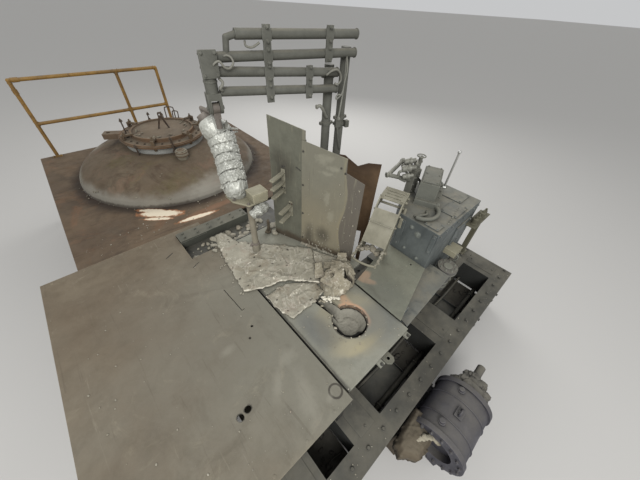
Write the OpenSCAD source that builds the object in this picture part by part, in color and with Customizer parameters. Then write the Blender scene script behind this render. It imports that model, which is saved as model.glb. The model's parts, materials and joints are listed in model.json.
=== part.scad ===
// Die casting machine: holding furnace with its lid, service deck, launder and keyhole pouring table,
// dosing arm on a tube gantry, splash shields, ladle arm and drive block on a floor bed.
// Places are measured from a setting-out point on the floor in front of the machine:
// X to the right along the bed, Y back along the deck to the furnace, Z up from the floor.
// The whole machine is then moved so that its origin is on the floor, at the middle of its extent.

/* [Levels] */
// Height of the walking deck over the floor
deck_z = 1000; // [900:10:1200]
// Thickness of the deck plates
deck_t = 12; // [8:1:20]
// Height of the top of the bed frame over the floor
bed_z = 600; // [500:10:700]

/* [Front deck] */
// Left edge of the front deck
deck_left = -800; // [-1000:10:-700]
// Right edge of the front deck, at the pouring table
deck_right = 620; // [600:5:630]
// Front edge of the front deck
deck_front = 200; // [150:5:230]
// Seam between the front deck and the furnace deck
deck_seam = 2632; // [2600:4:2700]
// Width of the ragged burnt holes in the deck
burnt_hole_d = 46; // [20:1:60]
// Width of the small lifting holes in the deck
lift_hole_d = 22; // [10:1:30]

/* [Furnace] */
// Centre of the furnace across the machine
furnace_x = 950; // [930:5:980]
// Centre of the furnace along the machine
furnace_y = 4200; // [4150:5:4250]
// Outer radius of the furnace shell and of the dome foot
furnace_r = 1170; // [1050:10:1250]
// Thickness of the furnace shell
furnace_wall = 60; // [20:5:100]
// Rise of the dome over the deck
dome_rise = 370; // [300:5:400]
// Radius of the light refractory neck on the dome
neck_r = 440; // [400:5:460]
// Height of the neck
neck_h = 80; // [60:5:120]
// Outer radius of the bolted lid flange
flange_r = 530; // [500:5:560]
// Thickness of the lid flange
flange_t = 36; // [20:2:50]
// Outer radius of the lid plate
lid_r = 400; // [360:5:420]
// Width of the furnace deck left and right of the furnace centre
furnace_deck_half = 1475; // [1400:5:1550]
// Width of the deck behind the furnace, for the guard rail
rail_strip = 80; // [76:2:160]

/* [Guard rail] */
// Outer diameter of the guard rail tube
rail_d = 45; // [38:1:50]
// Height of the top rail over the deck
rail_h = 1030; // [900:10:1100]
// Left bay of the guard rail
rail_bay_left = 1180; // [900:10:1300]
// Right bay of the guard rail
rail_bay_right = 560; // [400:10:800]

/* [Bed] */
// Right end of the bed frame
bed_right = 3250; // [3200:10:3300]
// Left end of the bed frame, under the deck
bed_left = 0; // [-100:10:50]
// Outer face of the front bed beam
bed_front = -130; // [-150:5:-100]
// Width of the bed beams
beam_w = 160; // [140:5:170]
// Depth of the bed beams
beam_h = 340; // [250:10:400]
// Clear width of the window bay between the front and the middle beam
bay_w = 320; // [280:5:330]

/* [Launder] */
// Near edge of the launder pocket in the deck
launder_front = 2120; // [2100:5:2150]
// Width of the launder pocket
launder_w = 435; // [400:5:440]
// Left end of the launder pocket
launder_left = 335; // [300:5:360]
// Width of the launder beam
launder_beam_w = 150; // [120:5:160]
// Length of the launder pan
pan_l = 1165; // [1100:5:1200]

/* [Pouring table] */
// Thickness of the pouring table plate
table_t = 30; // [20:1:40]
// Right edge of the pouring table plate
table_right = 1366; // [1340:2:1380]
// Right edge of the rear table plate, under the shields
rear_plate_right = 1600; // [1580:5:1640]
// Seam between the two table plates
table_split = 1290; // [1280:5:1300]
// Radius of the round end of the keyhole
keyhole_r = 150; // [120:5:160]
// Width of the neck of the keyhole
keyhole_neck = 120; // [80:5:140]
// Centre of the round end of the keyhole across the machine
keyhole_x = 1045; // [1030:5:1060]
// Centre of the round end of the keyhole along the machine
keyhole_y = 620; // [600:5:640]
// Depth of the refractory basin under the keyhole
basin_depth = 110; // [80:5:140]
// Wall of the refractory basin
basin_wall = 30; // [20:2:40]

/* [Shields] */
// Thickness of the splash shield sheets
shield_t = 6; // [4:1:8]
// Width of the tall left sheet that is seen
tall_sheet_w = 337; // [300:5:360]
// Width of the middle sheet
wide_sheet_w = 413; // [380:5:430]
// Width of the low right leaf
low_leaf_w = 170; // [120:5:180]
// Top of the tall left sheet over the floor
tall_sheet_top = 2262; // [2200:2:2300]
// Top of the middle sheet over the floor
wide_sheet_top = 2130; // [2050:5:2180]
// Top of the low right leaf over the floor
low_leaf_top = 1955; // [1850:5:2000]
// Drop of the sheet tops toward their right corners
top_drop = 54; // [0:2:80]
// Reach of the guide bars out of the tall sheet
guide_reach = 184; // [120:2:186]

/* [Gantry] */
// Outer diameter of the gantry bars
bar_d = 70; // [60:1:76]
// Outer diameter of the gantry columns
column_d = 90; // [80:1:100]
// Turn of the gantry away from the bed, in degrees
gantry_turn = -12.6; // [-15:0.1:-10]
// Diameter of the anchor bolt circle of the column feet
anchor_pcd = 170; // [160:2:176]
// Diameter of the anchor bolt holes
anchor_d = 18; // [14:1:20]
// Reach of the gantry from its hanging link to the outer column
gantry_reach = 1265; // [1220:5:1300]
// Distance between the two columns
column_gap = 170; // [168:1:200]
// Height of the uppermost gantry bar
bar_top_z = 2760; // [2700:5:2800]
// Spacing of the gantry bars in height
bar_pitch = 134; // [120:1:140]

/* [Dosing arm] */
// Diameter of the arm hinge pin
arm_pin_d = 30; // [20:1:36]
// Radial running clearance of the arm hinge
pin_clear = 0.05; // [0.02:0.01:0.1]
// Drop of the arm hinge below the lowest gantry bar
pin_drop = 68; // [66:1:80]
// Outer diameter of the drop pipe
drop_pipe_d = 60; // [50:1:70]
// Height of the foot of the drop pipe over the floor
drop_foot_z = 1020; // [1018:2:1060]

/* [Drive block] */
// Left face of the drive block
block_x = 2070; // [2050:5:2090]
// Front face of the drive block
block_y = 530; // [520:5:550]
// Length of the drive block
block_l = 900; // [850:10:950]
// Width of the drive block at its left face
block_w = 430; // [400:5:440]
// Top of the drive block over the floor
block_z = 1440; // [1400:5:1480]
// Diameter of the hand lever pin
lever_pin_d = 12; // [8:1:16]
// Length of the hand lever
lever_l = 400; // [300:10:430]
// Turn of the hood on the drive block, in degrees
hood_turn = 23; // [15:1:25]

/* [Ladle] */
// Width of the ladle arm
ladle_w = 250; // [220:5:260]
// Turn of the ladle arm, in degrees
ladle_turn = 18; // [16:0.5:20]
// Largest radius of the crusted cup
cup_r = 150; // [130:5:152]

/* [Hidden] */
$fn = 48;
eps = 1;

seat = 0.3;
deck_back = furnace_y + furnace_r + rail_strip;
furnace_deck_left = furnace_x - furnace_deck_half;
furnace_deck_right = furnace_x + furnace_deck_half;
pan_right = launder_left + pan_l;
mid_x = (deck_left + bed_right) / 2;
cylinder_r = 230;
cylinder_y = bed_front - 20 - cylinder_r;
site_front = cylinder_y - cylinder_r;
mid_y = (site_front + deck_back) / 2;

deck_under = deck_z - deck_t;
channel_h = 100;
channel_w = 50;
post_w = 80;
bay_y0 = bed_front + beam_w;
mid_beam_y = bay_y0 + bay_w;
rear_beam_y = mid_beam_y + beam_w + 540;
bed_rear = rear_beam_y + beam_w;
table_z = deck_z - 15;
launder_back = launder_front + launder_w;

// Moves a piece from the setting-out point to the machine's own origin.
module site() {
    translate([-mid_x, -mid_y, 0]) children();
}

// A plate or block given by its two corners.
module slab(x0, x1, y0, y1, z0, z1) {
    translate([x0, y0, z0]) cube([x1 - x0, y1 - y0, z1 - z0]);
}

// A round bar from point a to point b.
module bar(a, b, d) {
    v = b - a;
    l = norm(v);
    translate(a) rotate([0, acos(v[2] / l), atan2(v[1], v[0])]) cylinder(h = l, d = d);
}

// A round bar through several points, with ball corners that stand a hair proud and flat ends.
corner_lip = 0.6;

module bent_bar(points, d) {
    union() {
        for (i = [0 : len(points) - 2]) bar(points[i], points[i + 1], d);
        for (i = [1 : len(points) - 2]) translate(points[i]) sphere(d = d + corner_lip);
    }
}

// A ring of points of radius r about point c, square to the direction t.
function ring_at(c, t, r, sides) =
    let (
        n = t / norm(t),
        side = cross(n, abs(n[2]) > 0.9 ? [0, 1, 0] : [0, 0, 1]),
        u = side / norm(side),
        v = cross(n, u)
    )
    [for (k = [0 : sides - 1]) c + r * (cos(360 * k / sides) * u + sin(360 * k / sides) * v)];

// A closed tube of changing radius along a list of points.
module lofted_tube(points, radii, sides) {
    last = len(points) - 1;
    rings = [
        for (i = [0 : last])
            ring_at(points[i], points[min(i + 1, last)] - points[max(i - 1, 0)], radii[i], sides)
    ];
    verts = [for (r = rings) for (p = r) p];
    walls = [
        for (i = [0 : last - 1])
            for (k = [0 : sides - 1])
                for (f = [
                    [i * sides + k, i * sides + (k + 1) % sides, (i + 1) * sides + (k + 1) % sides],
                    [i * sides + k, (i + 1) * sides + (k + 1) % sides, (i + 1) * sides + k]
                ]) f
    ];
    foot = [for (k = [sides - 1 : -1 : 0]) k];
    head = [for (k = [0 : sides - 1]) last * sides + k];
    polyhedron(verts, concat([foot, head], walls), convexity = 6);
}

// Bed frame: three long beams, four cross members with T-slots and block feet.
cross_x = [bed_left, bed_left + 530, bed_left + 1700, bed_right - 300];
cross_w = [250, 300, 380, 300];
foot_h = bed_z - beam_h;

module bed_beam(y0) {
    flange = 30;
    web = 40;
    union() {
        slab(bed_left, bed_right, y0, y0 + beam_w, bed_z - flange, bed_z);
        slab(bed_left, bed_right, y0, y0 + beam_w, foot_h, foot_h + flange);
        slab(bed_left, bed_right, y0 + (beam_w - web) / 2, y0 + (beam_w + web) / 2, foot_h, bed_z);
    }
}

module bed_frame() {
    slot_w = 24;
    slot_depth = 18;
    foot_w = 200;
    color("dimgray") site() union() {
        for (y0 = [bed_front, mid_beam_y, rear_beam_y]) bed_beam(y0);
        for (i = [0 : 3]) difference() {
            slab(cross_x[i], cross_x[i] + cross_w[i], bed_front, bed_rear, foot_h + 40, bed_z);
            for (k = [1, 2]) {
                sx = cross_x[i] + cross_w[i] * k / 3 - slot_w / 2;
                slab(sx, sx + slot_w, bed_front - eps, bed_rear + eps, bed_z - slot_depth, bed_z + eps);
            }
        }
        for (i = [0 : 3]) for (y0 = [bed_front, mid_beam_y, rear_beam_y]) {
            fx = cross_x[i] + (cross_w[i] - foot_w) / 2;
            slab(fx, fx + foot_w, y0, y0 + beam_w, 0, foot_h);
        }
    }
}

// Drip trays that lie on the lower flanges of the beams in the window bays.
tray_spans = [[cross_x[1] + cross_w[1], 560], [cross_x[2] + cross_w[2], 420]];

module bed_tray() {
    tray_z = foot_h + 30;
    tray_t = 4;
    lip = 40;
    overlap_y = 50;
    color("slategray") site() for (s = tray_spans) difference() {
        slab(s[0], s[0] + s[1], bay_y0 - overlap_y, mid_beam_y + overlap_y, tray_z, tray_z + lip);
        translate([tray_t, tray_t, tray_t])
            slab(s[0], s[0] + s[1] - 2 * tray_t, bay_y0 - overlap_y, mid_beam_y + overlap_y - 2 * tray_t,
                tray_z, tray_z + lip);
    }
}

// Side cylinder: a big drum that lies beside the front beam, in two saddles.
cylinder_x0 = 1000;
cylinder_l = 500;
cylinder_z = 500;

module side_cylinder() {
    ring_w = 40;
    saddle_w = 80;
    color("slategray") site() union() {
        difference() {
            union() {
                translate([cylinder_x0, cylinder_y, cylinder_z]) rotate([0, 90, 0])
                    cylinder(h = cylinder_l, r = cylinder_r - 15);
                for (x = [cylinder_x0, cylinder_x0 + cylinder_l - ring_w])
                    translate([x, cylinder_y, cylinder_z]) rotate([0, 90, 0])
                        cylinder(h = ring_w, r = cylinder_r);
            }
            translate([cylinder_x0 - eps, cylinder_y, cylinder_z]) rotate([0, 90, 0])
                cylinder(h = 60 + eps, r = cylinder_r * 0.6);
        }
        for (x = [cylinder_x0 + 80, cylinder_x0 + cylinder_l - 80 - saddle_w]) difference() {
            slab(x, x + saddle_w, cylinder_y - 150, bed_front, 0, cylinder_z - 60);
            slab(x - eps, x + saddle_w + eps, cylinder_y - 70, cylinder_y + 70, -eps, 120);
        }
    }
}

// Cap and gland of the side cylinder, with its rod running on to a clevis.
module cylinder_cap() {
    cap_l = 90;
    gland_l = 120;
    rod_l = 180;
    x0 = cylinder_x0 + cylinder_l;
    color("silver") site() translate([x0, cylinder_y, cylinder_z]) rotate([0, 90, 0]) union() {
        cylinder(h = cap_l, r = cylinder_r * 0.72);
        translate([0, 0, cap_l]) cylinder(h = gland_l, r1 = cylinder_r * 0.55, r2 = cylinder_r * 0.4);
        translate([0, 0, cap_l + gland_l]) cylinder(h = rod_l, r = 35);
    }
}

// Deck frame: rim channels and ribs under the front deck, with posts to the floor.
module deck_frame() {
    z0 = deck_under - channel_h;
    x0 = deck_left + 20;
    x1 = deck_right - 20;
    seam_channel = deck_seam - 20 - channel_w;
    rib_y = [deck_front + 20, deck_front + 830, deck_front + 1680, seam_channel];
    inner_x = deck_left + 680;
    color("dimgray") site() union() {
        for (x = [x0, inner_x]) slab(x, x + channel_w, deck_front + 20, deck_seam - 20, z0, deck_under);
        slab(x1 - channel_w, x1, deck_front + 20, launder_front - 30, z0, deck_under);
        for (y = rib_y) {
            far = y > launder_front - 100 ? launder_left - 20 : x1;
            slab(x0, far, y, y + channel_w, z0, deck_under);
        }
        for (x = [x0, inner_x - 20]) for (y = [rib_y[0], rib_y[2], rib_y[3] - 30])
            slab(x, x + post_w, y, y + post_w, 0, z0);
        for (y = [rib_y[0], deck_front + 1400])
            slab(x1 - 60, x1, y, y + 60, y < bed_rear ? bed_z : 0, z0);
    }
}

// Front deck plate with its launder pocket, burnt holes, lifting holes and crack.
module front_deck() {
    burnt = [[63, 619], [2, 607]];
    lift = [[395, 1108], [329, 1030], [570, 1480]];
    crack_l = 290;
    crack_w = 7;
    color("rosybrown") site() difference() {
        slab(deck_left, deck_right, deck_front, deck_seam, deck_under, deck_z);
        slab(launder_left, deck_right + eps, launder_front, launder_back, deck_under - eps, deck_z + eps);
        for (p = burnt) translate([p[0], p[1], deck_under - eps])
            cylinder(h = deck_t + 2 * eps, d = burnt_hole_d);
        for (p = lift) translate([p[0], p[1], deck_under - eps])
            cylinder(h = deck_t + 2 * eps, d = lift_hole_d);
        translate([405, 1290, deck_under - eps]) rotate([0, 0, 3])
            cube([crack_w, crack_l, deck_t + 2 * eps]);
        translate([405, 1284, deck_under - eps]) cube([30, crack_w, deck_t + 2 * eps]);
    }
}

// Furnace deck plate round the dome.
module furnace_deck() {
    color("saddlebrown") site() difference() {
        union() {
            slab(furnace_deck_left, furnace_deck_right, deck_seam, deck_back, deck_under, deck_z);
            slab(deck_right, furnace_deck_right, launder_back, deck_seam, deck_under, deck_z);
        }
        translate([furnace_x, furnace_y, deck_under - eps])
            cylinder(h = deck_t + 2 * eps, r = furnace_r + seat, $fn = 96);
    }
}

// Frame under the furnace deck: rim channels and posts to the floor.
module furnace_deck_frame() {
    z0 = deck_under - channel_h;
    x0 = furnace_deck_left + 20;
    x1 = furnace_deck_right - 20;
    y0 = deck_seam + 10;
    y1 = deck_back - 8;
    color("dimgray") site() union() {
        for (x = [x0, x1 - channel_w]) slab(x, x + channel_w, y0, y1, z0, deck_under);
        slab(x0, x1, y0, y0 + channel_w, z0, deck_under);
        slab(x0, x1, y1 - channel_w, y1, z0, deck_under);
        for (x = [x0, x1 - post_w]) for (y = [y0, (y0 + y1) / 2, y1 - post_w])
            slab(x, x + post_w, y, y + post_w, 0, z0);
        slab(furnace_x - post_w / 2, furnace_x + post_w / 2, y0, y0 + post_w, 0, z0);
    }
}

// Furnace shell: a deep steel pot on the floor, with stiffening hoops.
module furnace_shell() {
    floor_t = 60;
    hoop_h = 60;
    hoop_t = 40;
    skin_r = furnace_r - hoop_t;
    hoop_r = furnace_r - 5;
    low = deck_z * 0.3;
    high = deck_z * 0.62;
    color("dimgray") site() translate([furnace_x, furnace_y, 0]) rotate_extrude($fn = 96)
        polygon([
            [0, 0], [skin_r, 0], [skin_r, low], [hoop_r, low], [hoop_r, low + hoop_h], [skin_r, low + hoop_h],
            [skin_r, high], [hoop_r, high], [hoop_r, high + hoop_h], [skin_r, high + hoop_h],
            [skin_r, deck_z], [skin_r - furnace_wall, deck_z], [skin_r - furnace_wall, floor_t], [0, floor_t]
        ]);
}

// Dome: a flattened shell of revolution from the deck up to the neck.
dome_wall = 90;
function dome_curve(r0, r1, rise, steps) = [
    for (i = [0 : steps])
        let (a = 90 * i / steps)
        [r1 + (r0 - r1) * cos(a), rise * sin(a)]
];

module furnace_dome() {
    outer = dome_curve(furnace_r, neck_r - 60, dome_rise, 14);
    inner = dome_curve(furnace_r - dome_wall, neck_r - 60, dome_rise - dome_wall, 14);
    inside = [for (i = [len(inner) - 1 : -1 : 0]) inner[i]];
    color("rosybrown") site() translate([furnace_x, furnace_y, deck_z]) rotate_extrude($fn = 96)
        polygon(concat(outer, inside));
}

// Light refractory neck between the dome and the lid flange.
module furnace_neck() {
    z0 = deck_z + dome_rise;
    color("gainsboro") site() translate([furnace_x, furnace_y, z0]) difference() {
        cylinder(h = neck_h, r = neck_r, $fn = 96);
        translate([0, 0, -eps]) cylinder(h = neck_h + 2 * eps, r = neck_r - 60, $fn = 96);
    }
}

// Lid flange: a broad ring bolted on the neck, with its raised inner rim.
flange_z = deck_z + dome_rise + neck_h;
clamp_angles = [20, 72, 128, 186, 238, 292, 340];

module lid_flange() {
    bolt_hole_d = 22;
    color("saddlebrown") site() translate([furnace_x, furnace_y, flange_z]) difference() {
        cylinder(h = flange_t, r = flange_r, $fn = 96);
        translate([0, 0, -eps]) cylinder(h = flange_t + 2 * eps, r = neck_r - 70, $fn = 96);
        for (a = clamp_angles) rotate([0, 0, a]) translate([flange_r - 45, 0, -eps])
            cylinder(h = flange_t + 2 * eps, d = bolt_hole_d);
    }
}

// Lid: a dished plate with a raised rim ring.
lid_z = flange_z + flange_t;
lid_t = 24;
lid_rim = 44;
lid_crown = 8;

module lid_plate() {
    color("sienna") site() translate([furnace_x, furnace_y, lid_z]) rotate_extrude($fn = 96)
        polygon([
            [0, 0], [lid_r, 0], [lid_r, lid_rim], [lid_r - 22, lid_rim], [lid_r - 26, lid_t],
            [160, lid_t + lid_crown], [0, lid_t + lid_crown]
        ]);
}

// Lifting handle: an A-shaped bail of thick bar that stands on the lid, with an eye at its top.
module lid_handle() {
    bar_w = 20;
    foot_half = 75;
    fork_z = 130;
    top_z = 210;
    head_half = 26;
    eye_r = 14;
    outline = [
        [foot_half, 0], [head_half, fork_z + 20], [head_half, top_z - 14], [head_half - 12, top_z],
        [12 - head_half, top_z], [-head_half, top_z - 14], [-head_half, fork_z + 20], [-foot_half, 0],
        [bar_w - foot_half, 0], [-6, fork_z], [6, fork_z], [foot_half - bar_w, 0]
    ];
    color("sienna") site() translate([furnace_x + 20, furnace_y, lid_z + lid_t + lid_crown]) rotate([0, 0, -20])
        rotate([90, 0, 0]) linear_extrude(bar_w, center = true) difference() {
            polygon(outline);
            translate([0, top_z - head_half - 6]) circle(r = eye_r);
        }
}

// Bolt clamps round the flange: stud, bridge bar on the lid rim, heel block and hex nuts each.
module lid_clamps() {
    stud_d = 20;
    bridge_l = flange_r - 15 - lid_r + 14;
    color("peru") site() translate([furnace_x, furnace_y, flange_z]) for (a = clamp_angles)
        rotate([0, 0, a]) union() {
            translate([flange_r - 45, 0, -40]) cylinder(h = flange_t + 40 + lid_rim + 60, d = stud_d);
            translate([flange_r - 45, 0, -40]) cylinder(h = 24, d = 38, $fn = 6);
            translate([flange_r - 15 - bridge_l, -20, flange_t + lid_rim]) cube([bridge_l + 12, 40, 20]);
            translate([flange_r - 28, -20, flange_t]) cube([25, 40, lid_rim + 10]);
            translate([flange_r - 45, 0, flange_t + lid_rim + 20]) cylinder(h = 18, d = 38, $fn = 6);
        }
}

// Box ear on the left of the flange, for the burner port.
module lid_side_box() {
    ear_l = 210;
    ear_w = 120;
    color("sienna") site() translate([furnace_x, furnace_y, flange_z]) rotate([0, 0, 152]) difference() {
        translate([flange_r + seat, -ear_w / 2, -30]) cube([ear_l, ear_w, 70]);
        translate([flange_r + ear_l - 60, 0, -31]) cylinder(h = 72, d = 50);
    }
}

// Spout boss on the dome front: a light sleeve with a flanged rusty cap.
spout_angle = 267.5;
spout_r = 650;
spout_d = 130;

module dome_spout() {
    sleeve_h = 190;
    cap_h = 60;
    z0 = dome_height(spout_r - spout_d / 2) - 170;
    color("gainsboro") site() translate([furnace_x, furnace_y, deck_z]) rotate([0, 0, spout_angle])
        difference() {
            translate([spout_r, 0, z0]) union() {
                cylinder(h = sleeve_h, d1 = spout_d - 20, d2 = spout_d);
                translate([0, 0, sleeve_h]) cylinder(h = cap_h, d = spout_d + 16);
                translate([0, 0, sleeve_h + cap_h]) cylinder(h = 14, d = spout_d - 10);
            }
            rotate_extrude($fn = 96) polygon(concat(
                [[0, -400], [furnace_r, -400]],
                dome_curve(furnace_r, neck_r - 60, dome_rise + seat, 14),
                [[0, dome_rise + seat]]
            ));
        }
}

function dome_height(r) = dome_rise * sqrt(1 - pow((r - neck_r + 60) / (furnace_r - neck_r + 60), 2));

// Guard rail along the far edge of the furnace deck: three posts, a top rail and a knee rail.
rail_y = deck_back - 50;
rail_x0 = furnace_x - 1270;

module guard_rail() {
    top_z = deck_z + rail_h - rail_d / 2;
    knee_z = deck_z + rail_h * 0.46;
    plate_w = 110;
    plate_d = rail_d + 4;
    x = [rail_x0, rail_x0 + rail_bay_left, rail_x0 + rail_bay_left + rail_bay_right];
    color("goldenrod") site() union() {
        bent_bar([[x[0], rail_y, deck_z], [x[0], rail_y, top_z], [x[2], rail_y, top_z],
            [x[2], rail_y, deck_z]], rail_d);
        bar([x[1], rail_y, deck_z], [x[1], rail_y, top_z], rail_d);
        bar([x[0], rail_y, knee_z], [x[2], rail_y, knee_z], rail_d);
        for (px = x) translate([px - plate_w / 2, rail_y - plate_d / 2, deck_z]) cube([plate_w, plate_d, 8]);
    }
}

// Launder beam: a channel that lies along the far side of the launder pocket.
module launder_beam() {
    y0 = launder_back - launder_beam_w - 5;
    top = deck_z + 20;
    wall = 10;
    color("darkslategray") site() difference() {
        slab(launder_left + 4, 1130, y0, y0 + launder_beam_w, launder_floor, top);
        slab(launder_left, 1130 + eps, y0 + wall, y0 + launder_beam_w - wall, launder_floor - eps, top - wall);
    }
}

// Launder pan: the folded floor and near wall of the launder pocket.
launder_floor = deck_z - 85;

module launder_pan() {
    t = 10;
    color("slategray") site() union() {
        slab(launder_left - 15, pan_right, launder_front - 20, launder_back - 0.5, launder_floor - t, launder_floor);
        slab(launder_left - 15, pan_right, launder_front - 20, launder_front - 20 + t, launder_floor - t, deck_under);
        for (x = [launder_left, 1200]) slab(x, x + 60, launder_front + 100, launder_front + 160, 0, launder_floor - t);
        for (x = [launder_left, 1200]) slab(x, x + 60, launder_back - 90, launder_back - 30, 0, launder_floor - t);
    }
}

// Table frame: legs and rails that carry the pouring table and the plate beside it.
module table_frame() {
    z1 = table_z - table_t;
    z0 = z1 - 80;
    x0 = deck_right + 30;
    x1 = table_right - 20;
    x2 = block_x - 90;
    y0 = 370;
    mid = 1040;
    skirt = 860;
    rear = launder_front - 30;
    rail = 60;
    side = rear_plate_right - rail;
    color("dimgray") site() union() {
        slab(x0, x1 + rail, y0, y0 + rail, z0, z1);
        slab(x0, rear_plate_right, mid, mid + rail, z0, z1);
        slab(x1, x1 + rail, skirt, mid + eps, z0, z1);
        slab(x1, x2 + rail, skirt, skirt + rail, z0, z1);
        slab(table_right + 10, x2 + rail, skirt - 20, skirt + rail, z1 - eps, deck_z);
        slab(x0, x0 + rail, y0, rear, z0, z1);
        for (x = [x1, side]) slab(x, x + rail, mid, rear, z0, z1);
        slab(x0, rear_plate_right, rear - rail, rear, z0, z1);
        for (x = [x0, x1]) slab(x, x + rail, y0, y0 + rail, bed_z, z1);
        for (x = [x0, x1]) slab(x, x + rail, bed_rear - 135, bed_rear - 75, bed_z, z1);
        slab(x2, x2 + rail, skirt, skirt + rail, bed_z, z1);
        for (x = [x0, side]) slab(x, x + rail, rear - rail, rear, 0, z1);
    }
}

// Front apron: a long smooth guard plate under the edge of the right plate, on two brackets.
module front_apron() {
    z1 = deck_z - 90;
    x0 = table_right + 54;
    x1 = head_x - head_r - 10;
    back = block_y - seat;
    bracket_w = 60;
    left_bracket = x0 + 60;
    right_bracket = block_x - 70;
    color("lightslategray") site() union() {
        translate([0, 0, z1]) linear_extrude(14)
            polygon([[x0, 275], [x1, 310], [x1, back], [block_x - 10, back], [x0 + 20, 360]]);
        for (x = [left_bracket, right_bracket])
            slab(x, x + bracket_w, mid_beam_y + 10, mid_beam_y + 70, bed_z, z1 + eps);
        slab(left_bracket, left_bracket + bracket_w, mid_beam_y + 10, mid_beam_y + 70, z1, deck_z);
    }
}

// Keyhole outline: a round end and a neck that runs back from it, grown by g.
keyhole_l = 350;

module keyhole_shape(g) {
    union() {
        circle(r = keyhole_r + g, $fn = 64);
        rotate(8) translate([-keyhole_neck / 2 - g, 0]) square([keyhole_neck + 2 * g, keyhole_l + g]);
    }
}

// Pouring table: two plates, the front one with the keyhole through it.
table_front = 250;
table_notch_y = 1000;

module keyhole_table() {
    z0 = table_z - table_t;
    tab_w = 50;
    color("gray") site() union() {
        difference() {
            slab(deck_right + 20, table_right, table_front, table_split, z0, table_z);
            translate([keyhole_x, keyhole_y, z0 - eps]) linear_extrude(table_t + 2 * eps) keyhole_shape(0);
        }
        translate([0, 0, z0]) linear_extrude(table_t) polygon([
            [deck_right + 20, table_split + 4], [table_right + 4, table_split + 4],
            [table_right + 4, table_notch_y], [rear_plate_right, table_notch_y],
            [rear_plate_right, launder_front - 25], [deck_right + 20, launder_front - 25]
        ]);
        for (x = [table_right - 70, table_right - 420]) slab(x, x + tab_w, table_front - 45, table_front + eps, z0, z0 + 18);
    }
}

// Keyhole basin: the refractory trough that hangs under the keyhole.
module keyhole_basin() {
    z1 = table_z - table_t;
    color("silver") site() translate([keyhole_x, keyhole_y, z1 - basin_depth]) difference() {
        linear_extrude(basin_depth - seat) keyhole_shape(basin_wall);
        translate([0, 0, basin_wall]) linear_extrude(basin_depth) keyhole_shape(0);
    }
}

// Right plate: a loose deck plate that lies skewed in front of the drive block.
module right_plate() {
    t = 10;
    color("darkgray") site() difference() {
        translate([0, 0, deck_z]) linear_extrude(t)
            polygon([[1366, 330], [2050, 515], [2058, 985], [1372, 860]]);
        translate([1985, 640, deck_z - eps]) cylinder(h = t + 2 * eps, d = 26);
    }
}

// Crusted sheets that lie over the launder and the table.
sheet_t = 10;

module crust_sheet_left() {
    color("tan") site() translate([0, 0, deck_z]) linear_extrude(sheet_t)
        polygon([
            [640, 2280], [735, 2300], [800, 2060], [1355, 1470], [1230, 1290], [1110, 1075],
            [990, 1200], [859, 1313], [659, 1361], [520, 1440], [575, 1890]
        ]);
}

module crust_sheet_front() {
    color("tan") site() translate([0, 0, table_z]) linear_extrude(sheet_t)
        polygon([
            [641, 1280], [657, 1041], [694, 951], [926, 947], [1080, 986], [1098, 1100], [1000, 1190], [860, 1280]
        ]);
}

// Splash shields: two lapped flat sheets in one line that stand on the rear table plate.
// Their own frame has x along the line to the right, y away from the keyhole and z up.
shield_at = [1220, 1940, 0];
shield_dir = atan2(-0.937, 0.350);
shield_foot = table_z;
lap = 30;

module shield_place() {
    site() translate(shield_at) rotate([0, 0, shield_dir]) children();
}

module upright_sheet(outline, y0) {
    translate([0, y0 + shield_t, 0]) rotate([90, 0, 0]) linear_extrude(shield_t) polygon(outline);
}

module shield_left() {
    w = tall_sheet_w + lap;
    color("gray") shield_place() upright_sheet(
        [[0, shield_foot], [w, shield_foot], [w, tall_sheet_top - top_drop], [0, tall_sheet_top]], shield_t);
}

module shield_right() {
    x0 = tall_sheet_w;
    x1 = x0 + wide_sheet_w;
    x2 = x1 + low_leaf_w;
    color("gray") shield_place() upright_sheet([
        [x0, shield_foot], [x2, shield_foot], [x2, low_leaf_top - top_drop], [x1 + 4, low_leaf_top],
        [x1, wide_sheet_top - top_drop], [x0, wide_sheet_top]
    ], 0);
}

// Rusty rear sheet with a burnt notch in its top edge, on two posts that are tied to the table frame.
rear_sheet_at = [1870, 1680, 0];
rear_sheet_dir = atan2(-0.852, 0.525);
rear_sheet_w = 430;
rear_sheet_t = 6;

module rear_sheet() {
    post = 50;
    foot = table_z - 60;
    top = deck_z + 840;
    tie_z = table_z - table_t - 60;
    tie_y = 1600;
    color("sienna") site() union() {
        translate(rear_sheet_at) rotate([0, 0, rear_sheet_dir]) union() {
            translate([0, rear_sheet_t, 0]) rotate([90, 0, 0]) linear_extrude(rear_sheet_t) polygon([
                [0, foot], [rear_sheet_w, foot], [rear_sheet_w, top - 30], [300, top - 40], [200, top - 90],
                [60, top], [0, top]
            ]);
            for (x = [20, rear_sheet_w - 20 - post])
                translate([x, rear_sheet_t - 1, 0]) cube([post, post + 1, deck_z + 700]);
        }
        slab(rear_plate_right, 1930, tie_y, tie_y + 40, tie_z, tie_z + 40);
    }
}

// Guide bars: two groups of flat bars that stand out of the tall sheet, each on its fixing strip.
guide_groups = [[118, [1590, 1680, 1770]], [192, [1340, 1440]]];

module guide_bars() {
    bar_w = 40;
    bar_h = 16;
    strip_t = shield_t;
    margin = 30;
    color("tan") shield_place() for (g = guide_groups) union() {
        z0 = g[1][0];
        z1 = g[1][len(g[1]) - 1];
        translate([g[0], 0, z0 - margin]) cube([bar_w, strip_t, z1 - z0 + 2 * margin + bar_h]);
        for (z = g[1]) translate([g[0], -guide_reach, z]) cube([bar_w, guide_reach + 1, bar_h]);
    }
}

// Gantry: its own frame has x along the bars, from the hanging link to the columns.
gantry_foot = [947, 2289, 0];
base_w = 164;

module gantry_place() {
    site() translate(gantry_foot) rotate([0, 0, gantry_turn]) children();
}

bar_z = [for (i = [0 : 3]) bar_top_z - i * bar_pitch];
bar_rise = [0, 0, 45, 45];
bar_fall = [0, 0, 10, 10];
inner_col = gantry_reach - column_gap;

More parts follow.
